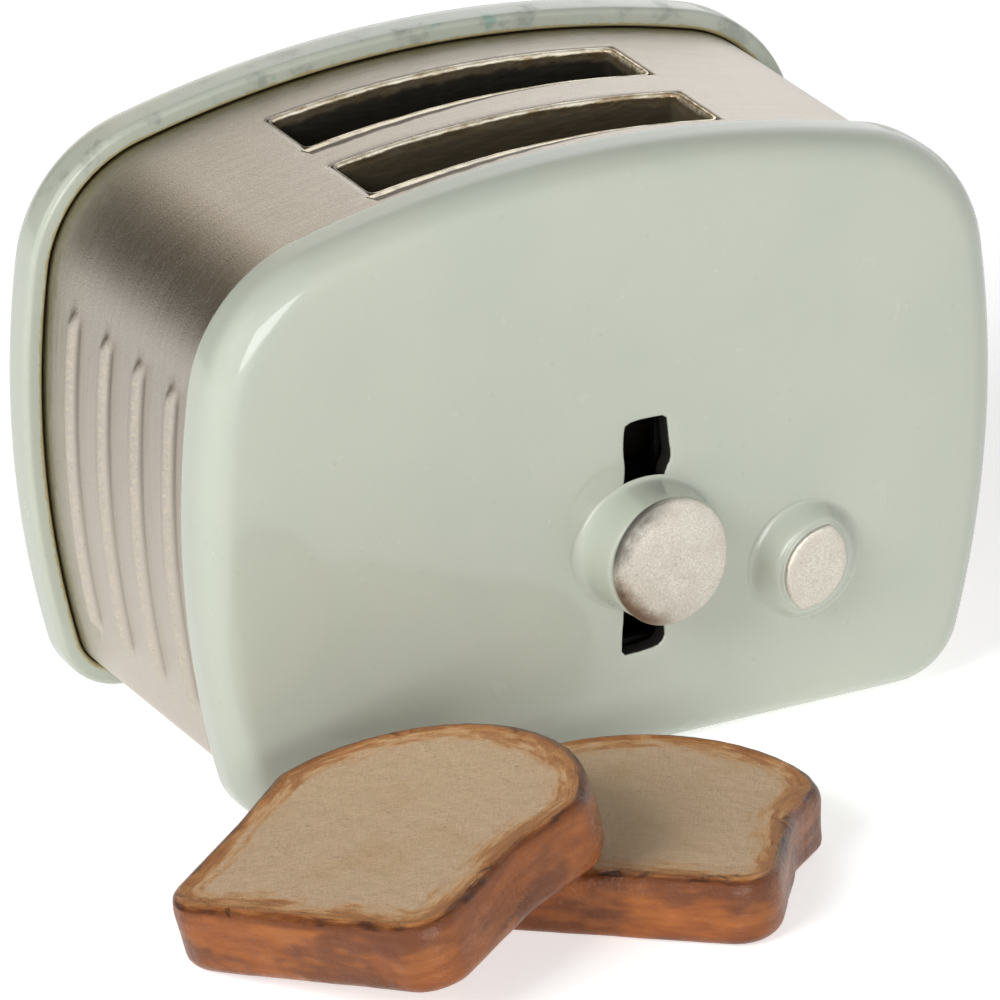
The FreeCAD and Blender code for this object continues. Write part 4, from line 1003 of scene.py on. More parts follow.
def rounded(corners, radii):
    """Polygon with its corners rounded. A radius of 0 leaves the corner."""
    loop = []
    for i, (corner, radius) in enumerate(zip(corners, radii)):
        if radius == 0:
            loop.append(corner)
            continue
        before, after = corners[i - 1] - corner, corners[(i + 1) % len(corners)] - corner
        before, after = before / np.linalg.norm(before), after / np.linalg.norm(after)
        half = math.acos(np.clip(before @ after, -1, 1)) / 2
        reach = radius / math.tan(half)
        middle = (before + after) / np.linalg.norm(before + after) * radius / math.sin(half) + corner
        a, b = (math.atan2(*(corner + way * reach - middle)[::-1]) for way in (before, after))
        b = a + (b - a + math.pi) % (2 * math.pi) - math.pi
        loop += [middle + radius * np.array([math.cos(t), math.sin(t)]) for t in np.linspace(a, b, 12)]
    return np.array(loop)


def slice_loop(size, count):
    """Anticlockwise outline of a slice with its straight edge on the x axis."""
    right = [
        (size["foot"] / 2, 0), (size["waist"] / 2, size["waist_up"]), (size["ears"] / 2, size["ear_up"]),
        (size["ears"] / 2 - SHOULDER_INSET, size["shoulder_up"]),
    ]
    reach, rise = right[-1][0], size["height"] - size["shoulder_up"]
    radius = (reach ** 2 + rise ** 2) / (2 * rise)
    sweep = math.asin(reach / radius)
    dome = [(radius * math.sin(t), size["height"] - radius + radius * math.cos(t))
            for t in np.linspace(sweep, -sweep, 15)[1:-1]]
    left = [(-x, z) for x, z in reversed(right)]
    left[2] = (left[2][0] - size["left_fuller"], left[2][1])
    corners = [np.array(p, float) for p in right + dome + left]
    loop = rounded(corners, CORNER_ROUNDS + [0] * len(dome) + CORNER_ROUNDS[::-1])
    start = int(np.argmin(np.hypot(*loop.T)))
    return evenly(np.roll(loop, -start, axis=0), count)


# %% Work a slice over
CRUST_ROUND = 1.05
SLICE_RING = 220
FACE_SHARES = (0.985, 0.968, 0.95, 0.925, 0.89, 0.85, 0.79, 0.71, 0.6, 0.48, 0.36, 0.24, 0.12)
FACE_MIDDLE = 0.47
FACE_DIP = 0.10
SIDE_KNOCKS, FINE_KNOCKS, FACE_KNOCKS = (0.24, 2.1), (0.05, 0.7), (0.05, 2.6)  # depth, size
KNOCK_WAVES = 7
GROOVE_DEPTH, GROOVE_AT, GROOVE_WIDTH = 0.10, 1.05, 0.22
HOLLOW_DEPTH, HOLLOW_AT, HOLLOW_WIDTH = 0.07, 0.9, 0.9
WORKED_WITHIN = 0.6


def knocks(points, kind, seed):
    """Soft dents of a worked surface, from a few crossing waves. kind is their depth and size."""
    depth, size = kind
    p = np.asarray(points) / size
    total = np.zeros(len(p))
    rng = np.random.default_rng(seed)
    for _ in range(KNOCK_WAVES):
        direction = rng.normal(size=3)
        direction /= np.linalg.norm(direction)
        total += np.sin(p @ direction * rng.uniform(1.5, 4.0) + rng.uniform(0, 6.28))
    return depth * (0.5 + total / (2 * KNOCK_WAVES))


def slice_shell(size, seed):
    """Slice in its own frame: straight edge on x, flat on z 0. Three values follow every point."""
    thickness = size["thickness"]
    loop = slice_loop(size, SLICE_RING)
    outward = loop_outward(loop)
    middle = np.array([0.0, size["height"] * FACE_MIDDLE])
    steps = [(CRUST_ROUND * left, CRUST_ROUND * gained) for left, gained in quarter(6)]
    steps += [(0.0, CRUST_ROUND + (thickness - 2 * CRUST_ROUND) * t) for t in np.linspace(0, 1, 9)[1:-1]]
    steps += [(CRUST_ROUND * left, thickness - CRUST_ROUND * gained) for left, gained in reversed(quarter(7))]
    rings, edges = [], []
    for inset, z in steps:
        ring = lying(loop - outward * inset, z)
        edge = inset - (thickness - z)
        worked = np.clip(-edge / WORKED_WITHIN, 0, 1)
        push = knocks(ring * (1, 1, 1.6), SIDE_KNOCKS, seed) + knocks(ring, FINE_KNOCKS, seed + 9)
        ring[:, :2] -= outward * (push * worked)[:, None]
        rings.append(ring)
        edges.append(edge)
    for share in FACE_SHARES:
        ring = lying(middle + (loop - outward * CRUST_ROUND - middle) * share, thickness)
        edge = nearest(loop, ring[:, :2])
        groove = GROOVE_DEPTH * np.exp(-((edge - GROOVE_AT) / GROOVE_WIDTH) ** 2)
        hollow = HOLLOW_DEPTH * np.clip((edge - HOLLOW_AT) / HOLLOW_WIDTH, 0, 1)
        ring[:, 2] -= groove + hollow + knocks(ring, FACE_KNOCKS, seed + 5) * np.clip(edge - 1, 0, 1)
        rings.append(ring)
        edges.append(edge)
    around_x, around_y = circle(run_along(loop)[1][-1] / (2 * math.pi), len(loop)).T
    shell = Shell()
    numbered = shell.stack(
        rings, edge=edges, around_x=[around_x] * len(rings), around_y=[around_y] * len(rings))
    shell.close(numbered[0], (*middle, 0.0), edge=-10.0)
    shell.close(numbered[-1], (*middle, thickness - FACE_DIP), edge=9.0)
    return shell


# %% Lay both slices on the table
FLAT_PLACE = Matrix.Translation((-12.99, -40.37, 0)) @ Matrix.Rotation(math.radians(-37.8), 4, "Z")
LEAN, PITCH, TURN = 10.10, 10.2, -60.6
LEANING_PLACE = (
    Matrix.Translation((-34.95, -39.0, 0)) @ Matrix.Rotation(math.radians(TURN), 4, "Z")
    @ Matrix.Rotation(math.radians(PITCH), 4, "X") @ Matrix.Rotation(math.radians(-LEAN), 4, "Y")
)


def laid(name, size, place, seed, solid):
    """Puts a slice in its place and rests its lowest point where its solid's lowest point is."""
    shell = slice_shell(size, seed)
    moved = [place @ Vector(p) for p in shell.points]
    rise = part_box(solid)[0][2] / MM - min(p.z for p in moved)
    shell.points = [(p.x, p.y, p.z + rise) for p in moved]
    return piece(name, shell, sharp_degrees=80, weld=0.0005)


flat_bread = laid("flat_bread_slice", FLAT, FLAT_PLACE, 11, "flat_slice")
leaning_bread = laid("leaning_bread_slice", LEANING, LEANING_PLACE, 23, "leaning_slice")

# %% [markdown]
# ## Finishes
# Every finish is worked out from a point's own place, in millimetres, so that a scratch is as fine as a real
# one. Three effects come up in more than one finish, so each is a small group of nodes: the grain that a
# brush leaves in metal, loose specks, and the rub along an edge. A finish then paints coats over a first
# tone, each with a mask and a colour, and takes roughness and bump from the masks too.

# %% Helpers for finishes
WHITE = (1.0, 1.0, 1.0, 1.0)


def new_finish(name, made=None):
    """Material, and a point's place on its piece in millimetres."""
    made = made or bpy.data.materials.new(name)
    made.use_nodes = True
    return made, scaled(node(made.node_tree, "ShaderNodeTexCoord", {})["Object"], 1 / MM)


def end_finish(made, links):
    """Feeds the material's Principled shader."""
    feed(made.node_tree, made.node_tree.nodes["Principled BSDF"], links)
    return made


def noise(vector, scale, detail=2.0, roughness=0.5):
    """Soft patches between 0 and 1. scale is how many fit into a millimetre."""
    return node(vector.tree, "ShaderNodeTexNoise", {
        "Vector": vector, "Scale": scale, "Detail": detail, "Roughness": roughness})["Fac"]


def kept(tree, name):
    """A value that the mesh keeps for each point."""
    return node(tree, "ShaderNodeAttribute", {}, attribute_name=name)["Fac"]


def off_middle(value, amount):
    """A noise turned into a shift to both sides of nought."""
    return (value - 0.5) * amount


def mix(factor, a, b):
    """Colour a where the factor is 0 and b where it is 1. A plain colour is its red, green and blue."""
    a, b = (c if isinstance(c, Value) else (*c, 1.0) for c in (a, b))
    return node(factor.tree, "ShaderNodeMix", {0: factor, 6: a, 7: b}, data_type="RGBA")[2]


def painted(tone, colours, **masks):
    """Paints coats over a tone, one after another. Each coat names its colour and gives its mask."""
    for name, mask in masks.items():
        tone = mix(mask, tone, colours[name])
    return tone


def bump(height, depth, normal=None):
    """Bump from a height between 0 and 1 that stands for a depth in millimetres."""
    links = {"Height": height, "Distance": depth * MM, "Strength": 1.0}
    if normal is not None:
        links["Normal"] = normal
    return node(height.tree, "ShaderNodeBump", links)[0]


def end_effect(tree, results):
    for name in results:
        tree.interface.new_socket(name, in_out="OUTPUT", socket_type="NodeSocketFloat")
    node(tree, "NodeGroupOutput", results)
    return tree


def effect(group, Vector, **inputs):
    """Places an effect in the tree that the vector belongs to."""
    return node(Vector.tree, "ShaderNodeGroup", {"Vector": Vector, **inputs}, node_tree=group)


# %% Brushed grain, specks and rubbed edges
def grain_group():
    tree, given = new_group("brushed grain", "ShaderNodeTree", {
        "Vector": "Vector", "Length": "Float", "Width": "Float"})
    x, y, z = parts(given["Vector"])
    stretched = node(tree, "ShaderNodeCombineXYZ", {
        0: x / given["Length"], 1: y / given["Width"], 2: z / given["Width"]})[0]
    return end_effect(tree, {
        "Streak": between(noise(stretched, 1.0, 5.0, 0.7), 0.3, 0.72),
        "Grain": between(noise(given["Vector"], 9.0, 2.0, 0.6), 0.3, 0.7),
    })


def speck_group():
    tree, given = new_group("specks", "ShaderNodeTree", {
        "Vector": "Vector", "Spacing": "Float", "Share": "Float"})
    cells = node(tree, "ShaderNodeTexVoronoi", {"Vector": given["Vector"], "Scale": 1.0 / given["Spacing"]})
    chance = node(tree, "ShaderNodeSeparateColor", {0: cells["Color"]})[0]
    dot = between(cells["Distance"], 0.22, 0.1)
    return end_effect(tree, {"Mask": chance.maths("LESS_THAN", given["Share"]) * dot})


def rub_group():
    tree, given = new_group("rubbed edge", "ShaderNodeTree", {
        "Vector": "Vector", "Distance": "Float", "Width": "Float"})
    ragged = off_middle(noise(given["Vector"], 1.1, 4.0, 0.65), 1.6)
    share = given["Distance"] / (given["Width"] * (ragged + 1.0))
    return end_effect(tree, {"Mask": between(share, 1.15, 0.65)})


GRAIN, SPECKS, RUB = grain_group(), speck_group(), rub_group()
print("shared effects:", ", ".join(group.name for group in (GRAIN, SPECKS, RUB)))

# %% [markdown]
# ### Sage enamel
# The paint is a pale grey green with a full gloss. It isn't a perfect coat: it has the faintest orange peel,
# a few specks of dust, and it is thin on the pans' rims, where the brass-coloured primer shows. The top of
# the back pan has been handled most and is rubbed dull and grey in places. Cut edges and the inside are raw
# metal, painted near black as shade so that the slot of the lever reads as a dark gap.

# %% Enamel
SAGE = dict(
    deep=(0.458, 0.495, 0.417), light=(0.484, 0.512, 0.431), dust=(0.36, 0.38, 0.31), pale=(0.66, 0.68, 0.6),
    mottle=(0.42, 0.45, 0.38), rubbed=(0.27, 0.29, 0.25), green=(0.20, 0.36, 0.29), primer=(0.36, 0.29, 0.12),
    # Bare metal, painted near black as shade on the slot's cut walls and the pan's inside.
    raw=(0.012, 0.011, 0.009),
)
RIM_Y = -FACE_Y - PAN_DEPTH


def enamel_finish():
    made, place = new_finish("sage enamel")
    x, y, z = parts(place)
    tone = mix(between(noise(place, 0.09, 3.0), 0.3, 0.7), SAGE["deep"], SAGE["light"])
    shifted = vector_maths("ADD", place, (9.0, 4.0, 7.0))[0]
    dust = effect(SPECKS, Vector=place, Spacing=0.9, Share=0.05)["Mask"]
    pale = effect(SPECKS, Vector=shifted, Spacing=0.7, Share=0.05)["Mask"]
    mottle = between(noise(place, 3.2, 3.0, 0.7), 0.3, 0.7)

    ragged = off_middle(noise(place, 1.3, 4.0, 0.7), 1.1)
    bare = between(kept(place.tree, "bare") + ragged, 0.2, 0.55)
    # Raw cut walls and inside, painted near black as shade so that the slot reads as a dark gap.
    rough_cut = off_middle(noise(place, 2.4, 3.0, 0.6), 0.3)
    raw = between(kept(place.tree, "cut") + rough_cut, 0.35, 0.7)
    behind = between(y, RIM_Y - 1.0, RIM_Y - 0.4)
    handled = behind * between(z, 30.0, 39.0) * between(abs(y) - RIM_Y, 3.0, 0.3)
    worn = handled * between(noise(place, 0.4, 5.0, 0.62), 0.5, 0.66)
    green = handled * between(noise(shifted, 0.33, 4.0, 0.6), 0.62, 0.72)
    tone = painted(
        tone, SAGE, dust=dust * 0.22, pale=pale * 0.2, mottle=mottle * 0.10, rubbed=worn * 0.7,
        green=green * 0.65, primer=bare * 0.85, raw=raw)

    dull = bare.maths("MAXIMUM", worn) * 0.35 + 0.2 + raw * 0.6 + noise(place, 0.35, 3.0) * 0.1
    peel = bump(noise(place, 0.8, 2.0, 0.45), 0.004)
    grit = dust + pale + worn * noise(place, 4.0, 3.0)
    return end_finish(made, {
        "Base Color": tone, "Roughness": dull, "Normal": bump(grit, 0.008, peel),
        "Coat Weight": 0.8 - bare.maths("MAXIMUM", raw) * 0.8, "Coat Roughness": 0.05,
        "Specular IOR Level": 0.25,
    })


enamel = enamel_finish()

# %% [markdown]
# ### Brushed nickel
# The band was brushed along its length before it was wrapped, so its grain follows the strip, not the room.
# The strip's own flat measures were kept as a UV map for this. Its lower sides are painted paler towards the
# bottom. Each rib has a painted highlight on its crest, a painted dark shadow line beside it and painted shade
# on its far flank, and paint has bled in from the back pan. The band is darker where it meets the pans. The
# fold in front of each slot has a painted highlight at its edge and painted shade beyond.

# %% Nickel band
# Some colours here are painted light: a highlight on the rib crests, shade and a shadow line beside the ribs,
# and highlight and shade on the slots' folds.
NICKEL = dict(
    dark=(0.47, 0.425, 0.372), light=(0.575, 0.525, 0.465), broad=(0.45, 0.40, 0.34), sand=(0.70, 0.66, 0.60),
    polished=(0.70, 0.64, 0.56), flecks=(0.24, 0.20, 0.15), crest=(0.90, 0.79, 0.58), hollow=(0.22, 0.18, 0.14),
    settled=(0.17, 0.135, 0.10), bled=(0.34, 0.34, 0.20), grime=(0.10, 0.085, 0.06),
    burnt=(0.05, 0.034, 0.017), lit=(0.86, 0.79, 0.64),
)
RIBS_FROM_X = 22.0
ARCH_FALL = 8
FAR_OUTSIDE = 9.0


def near_fold(place, middle_y):
    """How far across one slot's pressed fold a point lies: 0 at its edge, 1 where it ends."""
    x, y, z = parts(place)
    left = between(x, WELL_X + OPENING_X * 0.7, WELL_X - OPENING_X * 0.8)
    width = (left * 1.1 + 0.07) * (off_middle(noise(place, 0.7, 3.0), 0.5) + 1.0)
    away = middle_y - OPENING_Y - y
    past = (abs(x - WELL_X) - OPENING_X).maths("MAXIMUM", 0.0)
    outside = away.maths("LESS_THAN", 0.0) * FAR_OUTSIDE + past * 3.0
    below = z.maths("LESS_THAN", BODY_HEIGHT - ARCH_FALL) * FAR_OUTSIDE
    return abs(away) / width + outside + below


def nickel_finish():
    made, place = new_finish("brushed nickel", nickel)
    x, y, z = parts(place)
    flat = node(place.tree, "ShaderNodeUVMap", {}, uv_map="grain")[0]
    brushed = effect(GRAIN, Vector=flat, Length=6.0, Width=0.2)["Streak"]
    broad = effect(GRAIN, Vector=flat, Length=5.0, Width=0.55)["Streak"]
    sand = between(noise(place, 6.5, 2.0, 0.8), 0.32, 0.68)
    flecks = effect(SPECKS, Vector=place, Spacing=0.34, Share=0.22)["Mask"]

    steps = y / RIB_PITCH - 0.5
    beside = (steps - steps.maths("ROUND")) * RIB_PITCH
    ribbed = (between(z, RIB_BOTTOM - 0.2, RIB_BOTTOM + 1) * between(z, RIB_TOP, RIB_TOP - 1.2)
              * abs(x).maths("GREATER_THAN", RIBS_FROM_X))
    # Painted highlight on the lit flank of each rib's crest, broken into gold sparkle.
    crest = between(abs(beside + 0.22), 0.5, 0.02) * ribbed
    crest = crest * between(noise(place, 2.6, 5.0, 0.8), 0.46, 0.64)
    # Painted shade on the far flank of each rib.
    hollow = between(abs(beside - 0.75), 0.75, 0.15) * ribbed
    # Painted shadow: a dark line beside each rib's crest.
    settled = between(abs(beside + 0.82), 0.34, 0.04) * ribbed * between(z, 12.0, 28.0, 0.25, 0.6)
    bled = effect(RUB, Vector=place, Distance=RIM_Y + 0.1 - y, Width=1.3)["Mask"]
    # Darker where the band meets the pans.
    grime = effect(RUB, Vector=place, Distance=RIM_Y + 0.1 - abs(y), Width=0.2)["Mask"]
    # The band is painted paler towards its bottom, by height.
    tone = painted(
        mix(brushed, NICKEL["dark"], NICKEL["light"]), NICKEL, broad=broad * 0.55, sand=sand * 0.3,
        polished=between(z, 33.0, 8.0, 0.0, 0.6), flecks=flecks * 0.4, crest=crest * 0.5, hollow=hollow * 0.16,
        settled=settled, bled=bled * 0.4, grime=grime * 0.5)
    for middle_y in (-WELL_Y, WELL_Y):
        share = near_fold(place, middle_y)
        # Painted shade beyond the fold's edge, and a painted highlight along the edge itself.
        burnt = between(share, 0.35, 0.55) * between(share, 1.15, 0.85)
        lit = between(share, 0.55, 0.35) * between(noise(place, 0.9, 3.0), 0.36, 0.5, 0.3, 1.0)
        tone = painted(tone, NICKEL, burnt=burnt * 0.92, lit=lit)
    return end_finish(made, {
        "Base Color": tone, "Metallic": 1.0,
        "Roughness": brushed * 0.12 + 0.27 + crest * 0.15 + sand * 0.08,
        "Normal": bump(broad, 0.016, bump(sand, 0.009, bump(brushed, 0.004))),
    })


nickel_finish()

# %% [markdown]
# ### Plating of the slots
# The linings are the same metal, plated bright. Three zones follow each other by depth: the roll at the mouth
# shines, with painted glints along it, and has dents, a painted brown shade lies under it, and the wall below
# is painted nearly black as shade, darker still further down, a little lighter in the front slot, with one thin
# painted reflection of the roll across it. The left end of the roll is dark.

# %% Plating
# The walls' colours are painted shade, the thin line across the front wall is a painted reflection, and the
# roll's two tones paint glints along it.
PLATING = dict(
    low=(0.46, 0.35, 0.20), high=(0.98, 0.91, 0.74), rear=(0.030, 0.026, 0.019), front=(0.105, 0.084, 0.052),
    end=(0.10, 0.08, 0.05), shade=(0.24, 0.17, 0.08), bead=(0.50, 0.45, 0.36), deep=(0.03, 0.025, 0.018),
)
REFLECTION_DEPTH = 3.2


def plating_finish():
    made, place = new_finish("slot plating")
    x, y, z = parts(place)
    depth = kept(place.tree, "depth")
    blotch = off_middle(noise(place, 0.8, 2.0), 0.9)
    down = between(depth + blotch, 0.9, 1.7)
    shade = between(depth + blotch * 0.7, 0.5, 0.95)
    drawn_out = vector_maths("MULTIPLY", place, (0.35, 1.0, 1.0))[0]
    # Painted glints that swell and fade along the roll.
    roll_glints = between(noise(drawn_out, 1.3, 4.0, 0.65), 0.36, 0.6)
    at_left = between(x, WELL_X - OPENING_X + 0.7, WELL_X - OPENING_X + 0.3)
    roll = mix(roll_glints, PLATING["low"], PLATING["high"])
    roll = painted(roll, PLATING, end=at_left * 0.9, shade=shade * 0.85)
    # The walls are painted nearly black as shade, the front slot's a little lighter.
    front = between(y, 1.0, -1.0)
    wall = mix(front, PLATING["rear"], PLATING["front"])
    # Painted reflection of the near roll: a thin bright line across the front slot's wall.
    bead = between(abs(depth + blotch * 0.3 - REFLECTION_DEPTH), 0.16, 0.05)
    # Painted shade grows darker further down the wall.
    tone = painted(mix(down, roll, wall), PLATING, bead=bead * front * 0.7, deep=between(depth, 4.0, 12.0))
    shine = between(noise(place, 1.1, 3.0), 0.3, 0.7, 0.18, 0.3)
    dents = bump(noise(drawn_out, 0.9, 3.0, 0.6), 0.12)
    return end_finish(made, {
        "Base Color": tone, "Metallic": between(down, 0.0, 1.0, 0.7, 0.25), "Roughness": shine + down * 0.2,
        "Normal": bump(noise(place, 5.0, 2.0), 0.006, dents),
    })


plating = plating_finish()

# %% [markdown]
# ### Silver on the knob and the dial
# The two plates carry silver paint: fine flakes that sparkle, a little warm, with a painted reflection at the
# knob's left edge, dark grey above and brown below. The flakes are a very fine noise in the bump and the
# roughness.

# %% Silver paint
# The dark grey and brown here are a painted reflection at the knob plate's left edge.
SILVER = dict(
    dark=(0.54, 0.495, 0.42), light=(0.80, 0.765, 0.69), cloud=(0.50, 0.44, 0.35), pits=(0.20, 0.16, 0.11),
    grey=(0.07, 0.066, 0.055), brown=(0.19, 0.10, 0.045),
)


def silver_finish():
    made, place = new_finish("silver paint")
    x, y, z = parts(place)
    flake = noise(place, 8.0, 3.0, 0.8)
    cloud = between(noise(place, 0.7, 3.0), 0.3, 0.7)
    pits = effect(SPECKS, Vector=place, Spacing=0.36, Share=0.2)["Mask"]
    beside, up = x - LEVER_X, z - LEVER_Z
    radius = (beside ** 2.0 + up ** 2.0).maths("SQRT")
    at_edge = between(radius + noise(place, 1.4, 4.0, 0.7) * 1.2, 3.6, 4.9)
    # Painted reflection on the knob plate's left edge: dark grey above, brown below.
    edge_reflection = at_edge * (between(beside, 0.8, -2.2) * between(beside, -6.0, -5.0))
    tone = painted(
        mix(between(flake, 0.3, 0.7), SILVER["dark"], SILVER["light"]), SILVER, cloud=cloud * 0.25,
        pits=pits * 0.5, grey=edge_reflection * between(up, -0.6, 1.4) * 0.85,
        brown=edge_reflection * between(up, 0.2, -1.8) * 0.85)
    return end_finish(made, {
        "Base Color": tone, "Metallic": 0.8, "Roughness": between(flake, 0.3, 0.7, 0.3, 0.5),
        "Normal": bump(flake, 0.024, bump(noise(place, 1.2), 0.03)),
    })


silver = silver_finish()

# %% [markdown]
# ### Painted bread
# The bread is painted in three passes. The cut face is a dry beige with the weave of a coarse brush dragged
# both ways. Round its edge runs toast, ochre to orange and darker outside, brushed along the edge and thinning
# out inwards. The crust is a rich red brown, brushed darker in patches, with a semi-gloss. A dark line runs
# where face and crust meet, broken here and there, with a few short cracks. The three values on the mesh say
# where each pass starts and ends and which way the brush went.

# %% Bread
BREAD = dict(
    crumb_dark=(0.55, 0.375, 0.235), crumb_light=(0.70, 0.515, 0.345), crumb=(0.63, 0.45, 0.29),
    stain=(0.52, 0.33, 0.15), flecks=(0.28, 0.15, 0.07), toast=(0.50, 0.215, 0.058),
    toast_light=(0.69, 0.375, 0.150), dark_toast=(0.33, 0.100, 0.015), dark_toast_light=(0.49, 0.185, 0.034),
    crust=(0.20, 0.054, 0.011), crust_light=(0.31, 0.092, 0.018), patch=(0.085, 0.026, 0.010),
    bright=(0.42, 0.140, 0.028), rim=(0.13, 0.036, 0.009), line=(0.045, 0.013, 0.006),
    cracks=(0.045, 0.013, 0.006),
)
WEAVE_TURNS = (-55, 35)


def crossed_weave(place):
    """Marks of a coarse brush dragged both ways over the cut face."""
    streaks = []
    for turn in WEAVE_TURNS:
        turned_place = node(place.tree, "ShaderNodeMapping", {
            "Vector": place, "Rotation": (0.0, 0.0, math.radians(turn))})[0]
        streaks.append(effect(GRAIN, Vector=turned_place, Length=1.6, Width=0.17)["Streak"])
    return (streaks[0] + streaks[1]) * 0.5


def along_the_edge(edge, length, width, detail=5.0):
    """Streaks that run round the slice beside its edge."""
    x, y = (kept(edge.tree, name) / length for name in ("around_x", "around_y"))
    along = node(edge.tree, "ShaderNodeCombineXYZ", {0: x, 1: y, 2: edge / width})[0]
    return between(noise(along, 1.0, detail, 0.7), 0.3, 0.7)


def bread_finish():
    made, place = new_finish("painted bread")
    edge = kept(place.tree, "edge")
    weave = crossed_weave(place)
    flecks = effect(SPECKS, Vector=place, Spacing=0.7, Share=0.16)["Mask"]
    crumb = painted(
        mix(weave, BREAD["crumb_dark"], BREAD["crumb_light"]), BREAD,
        crumb=between(noise(place, 0.22, 3.0), 0.35, 0.68, 0.0, 0.5),
        stain=between(noise(place, 0.16, 3.0), 0.56, 0.7) * 0.35, flecks=flecks * 0.4)

    dragged = along_the_edge(edge, 3.4, 0.6)
    reach = edge + (off_middle(noise(place, 0.3, 3.0), 2.6) + off_middle(dragged, 1.5))
    toast, dark_toast = (mix(dragged, BREAD[k], BREAD[k + "_light"]) for k in ("toast", "dark_toast"))
    toast = mix(between(reach, 2.3, 1.0), toast, dark_toast)
    in_toast = between(reach, 3.2, 1.5)
    face = mix(in_toast * 0.88, crumb, toast)

    strokes = along_the_edge(edge, 5.0, 0.8)
    wide_strokes = along_the_edge(edge, 9.0, 2.6, 2.0)
    patch = between(noise(place, 0.2, 3.0) * 0.8 + wide_strokes * 0.2, 0.42, 0.6)
    bright = between(along_the_edge(edge + 4.0, 6.0, 1.9, 2.5), 0.5, 1.0)
    crust = mix(strokes, BREAD["crust"], BREAD["crust_light"])
    crust = painted(crust, BREAD, patch=patch * 0.62, bright=bright * 0.4)

    on_face = between(edge + off_middle(dragged, 0.6), 0.2, 1.0)
    rim = between(abs(edge + off_middle(wide_strokes, 1.2)), 1.2, 0.1, 0.0, 0.7)
    crease = abs(edge + off_middle(strokes, 0.9) - 0.35)
    line = effect(RUB, Vector=place, Distance=crease, Width=0.26)["Mask"]
    broken = between(noise(place, 0.4, 3.0), 0.42, 0.62, 0.1, 0.85)
    shifted = vector_maths("ADD", place, (3.0, 1.0, 2.0))[0]
    cells = node(
        place.tree, "ShaderNodeTexVoronoi", {"Vector": shifted, "Scale": 0.3}, feature="DISTANCE_TO_EDGE")[0]
    cracks = (between(cells, 0.05, 0.015) * between(reach, 1.9, 1.0) * between(edge, -0.3, 0.3)
              * between(noise(place, 0.3, 2.0), 0.57, 0.65))
    tone = painted(mix(on_face, crust, face), BREAD, rim=rim, line=line * broken, cracks=cracks * 0.6)

    brushed = bump(dragged * in_toast, 0.025, bump(weave * on_face, 0.035))
    brushed = bump(1.0 - cracks, 0.12, brushed)
    return end_finish(made, {
        "Base Color": tone, "Roughness": between(reach, 0.8, 3.0, 0.32, 0.72) - strokes * 0.08,
        "Specular IOR Level": 0.4, "Normal": bump(noise(place, 0.8, 4.0, 0.6), 0.2, brushed),
    })


bread = bread_finish()
for finish, dressed in (
    (enamel, (front_pan, back_pan, knob, dial)), (plating, (front_lining, rear_lining)),
    (silver, (cap, dial_lens)), (bread, (flat_bread, leaning_bread)),
):
    for made in dressed:
        made.data.materials.append(finish)
    print(finish.name, "on", len(dressed), "pieces")

# %% [markdown]
# ### The metals inside
# Slider, rods, guide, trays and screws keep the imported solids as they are: plain machined and punched
# pieces whose shape is right. Steel that is never seen in daylight is blackened against rust, screws are
# bright, and bushes and rivets are brass. One rule with three sets of values makes all of them.

# %% Steel, bright steel and brass
METALS = {
    "steel": ("blackened steel", (0.045, 0.045, 0.048), (0.10, 0.098, 0.095), 0.42),
    "screw_steel": ("bright steel", (0.42, 0.42, 0.43), (0.62, 0.61, 0.60), 0.26),
    "brass": ("warm brass", (0.52, 0.34, 0.10), (0.74, 0.53, 0.22), 0.28),
}


def metal_finish(name, dark, light, roughness, made=None):
    made, place = new_finish(name, made)
    brushed = effect(GRAIN, Vector=place, Length=3.0, Width=0.12)
    spots = effect(SPECKS, Vector=place, Spacing=0.8, Share=0.25)["Mask"]
    tone = mix(spots * 0.4, mix(brushed["Streak"], dark, light), dark)
    return end_finish(made, {
        "Base Color": tone, "Metallic": 1.0, "Roughness": brushed["Grain"] * 0.14 + roughness,
        "Normal": bump(brushed["Streak"], 0.004),
    })


metals = {
    slot: metal_finish(*values, made=screw_steel if slot == "screw_steel" else None)
    for slot, values in METALS.items()
}
changed = 0
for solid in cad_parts.values():
    for place in solid.material_slots:
        slot = place.material.name.split(".")[0] if place.material else None
        if slot in metals:
            place.material = metals[slot]
            changed += 1
print(changed, "packed solids carry", ", ".join(m.name for m in metals.values()))

# %% [markdown]
# ## Which piece rides on what
# A new piece moves with the body of the solid that it stands for: pans, band, linings and base screws with
# the toaster, the knob with the lever, the boss with the dial, and each slice by itself.

# %% Join the pieces to the frame
PIECES = [
    (front_pan, "toaster", "front_panel", "enamel"),
    (back_pan, "toaster", "back_panel", "enamel"),
    (nickel_band, "toaster", "body_band", "nickel"),
    (front_lining, "toaster", "front_bread_well", "well_metal"),
    (rear_lining, "toaster", "rear_bread_well", "well_metal"),
    (screws, "toaster", "base_screws", "screw_steel"),
    (knob, "lever", "lever_knob", "enamel"),
    (cap, "lever", "lever_knob_cap", "silver"),
    (dial, "dial", "dial_knob", "enamel"),
    (dial_lens, "dial", "dial_face", "silver"),
    (flat_bread, "flat_bread", "flat_slice", "bread"),
    (leaning_bread, "leaning_bread", "leaning_slice", "bread"),
]
for made, body, solid, slot in PIECES:
    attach(made, body)
    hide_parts(solid)

# %% [markdown]
# ## Table, light and camera
# The toy stands on a pale table in a soft studio. Polished metal shows whatever is round it, so the room
# matters as much as the lamps: it is white, brighter behind on the right, with one dark brown corner behind on
# the left, which the band's shoulder mirrors. A soft box in front leaves its mark on the pan's round edge. A
# second one, from the left, gives the shapes their light and shade and isn't mirrored anywhere.

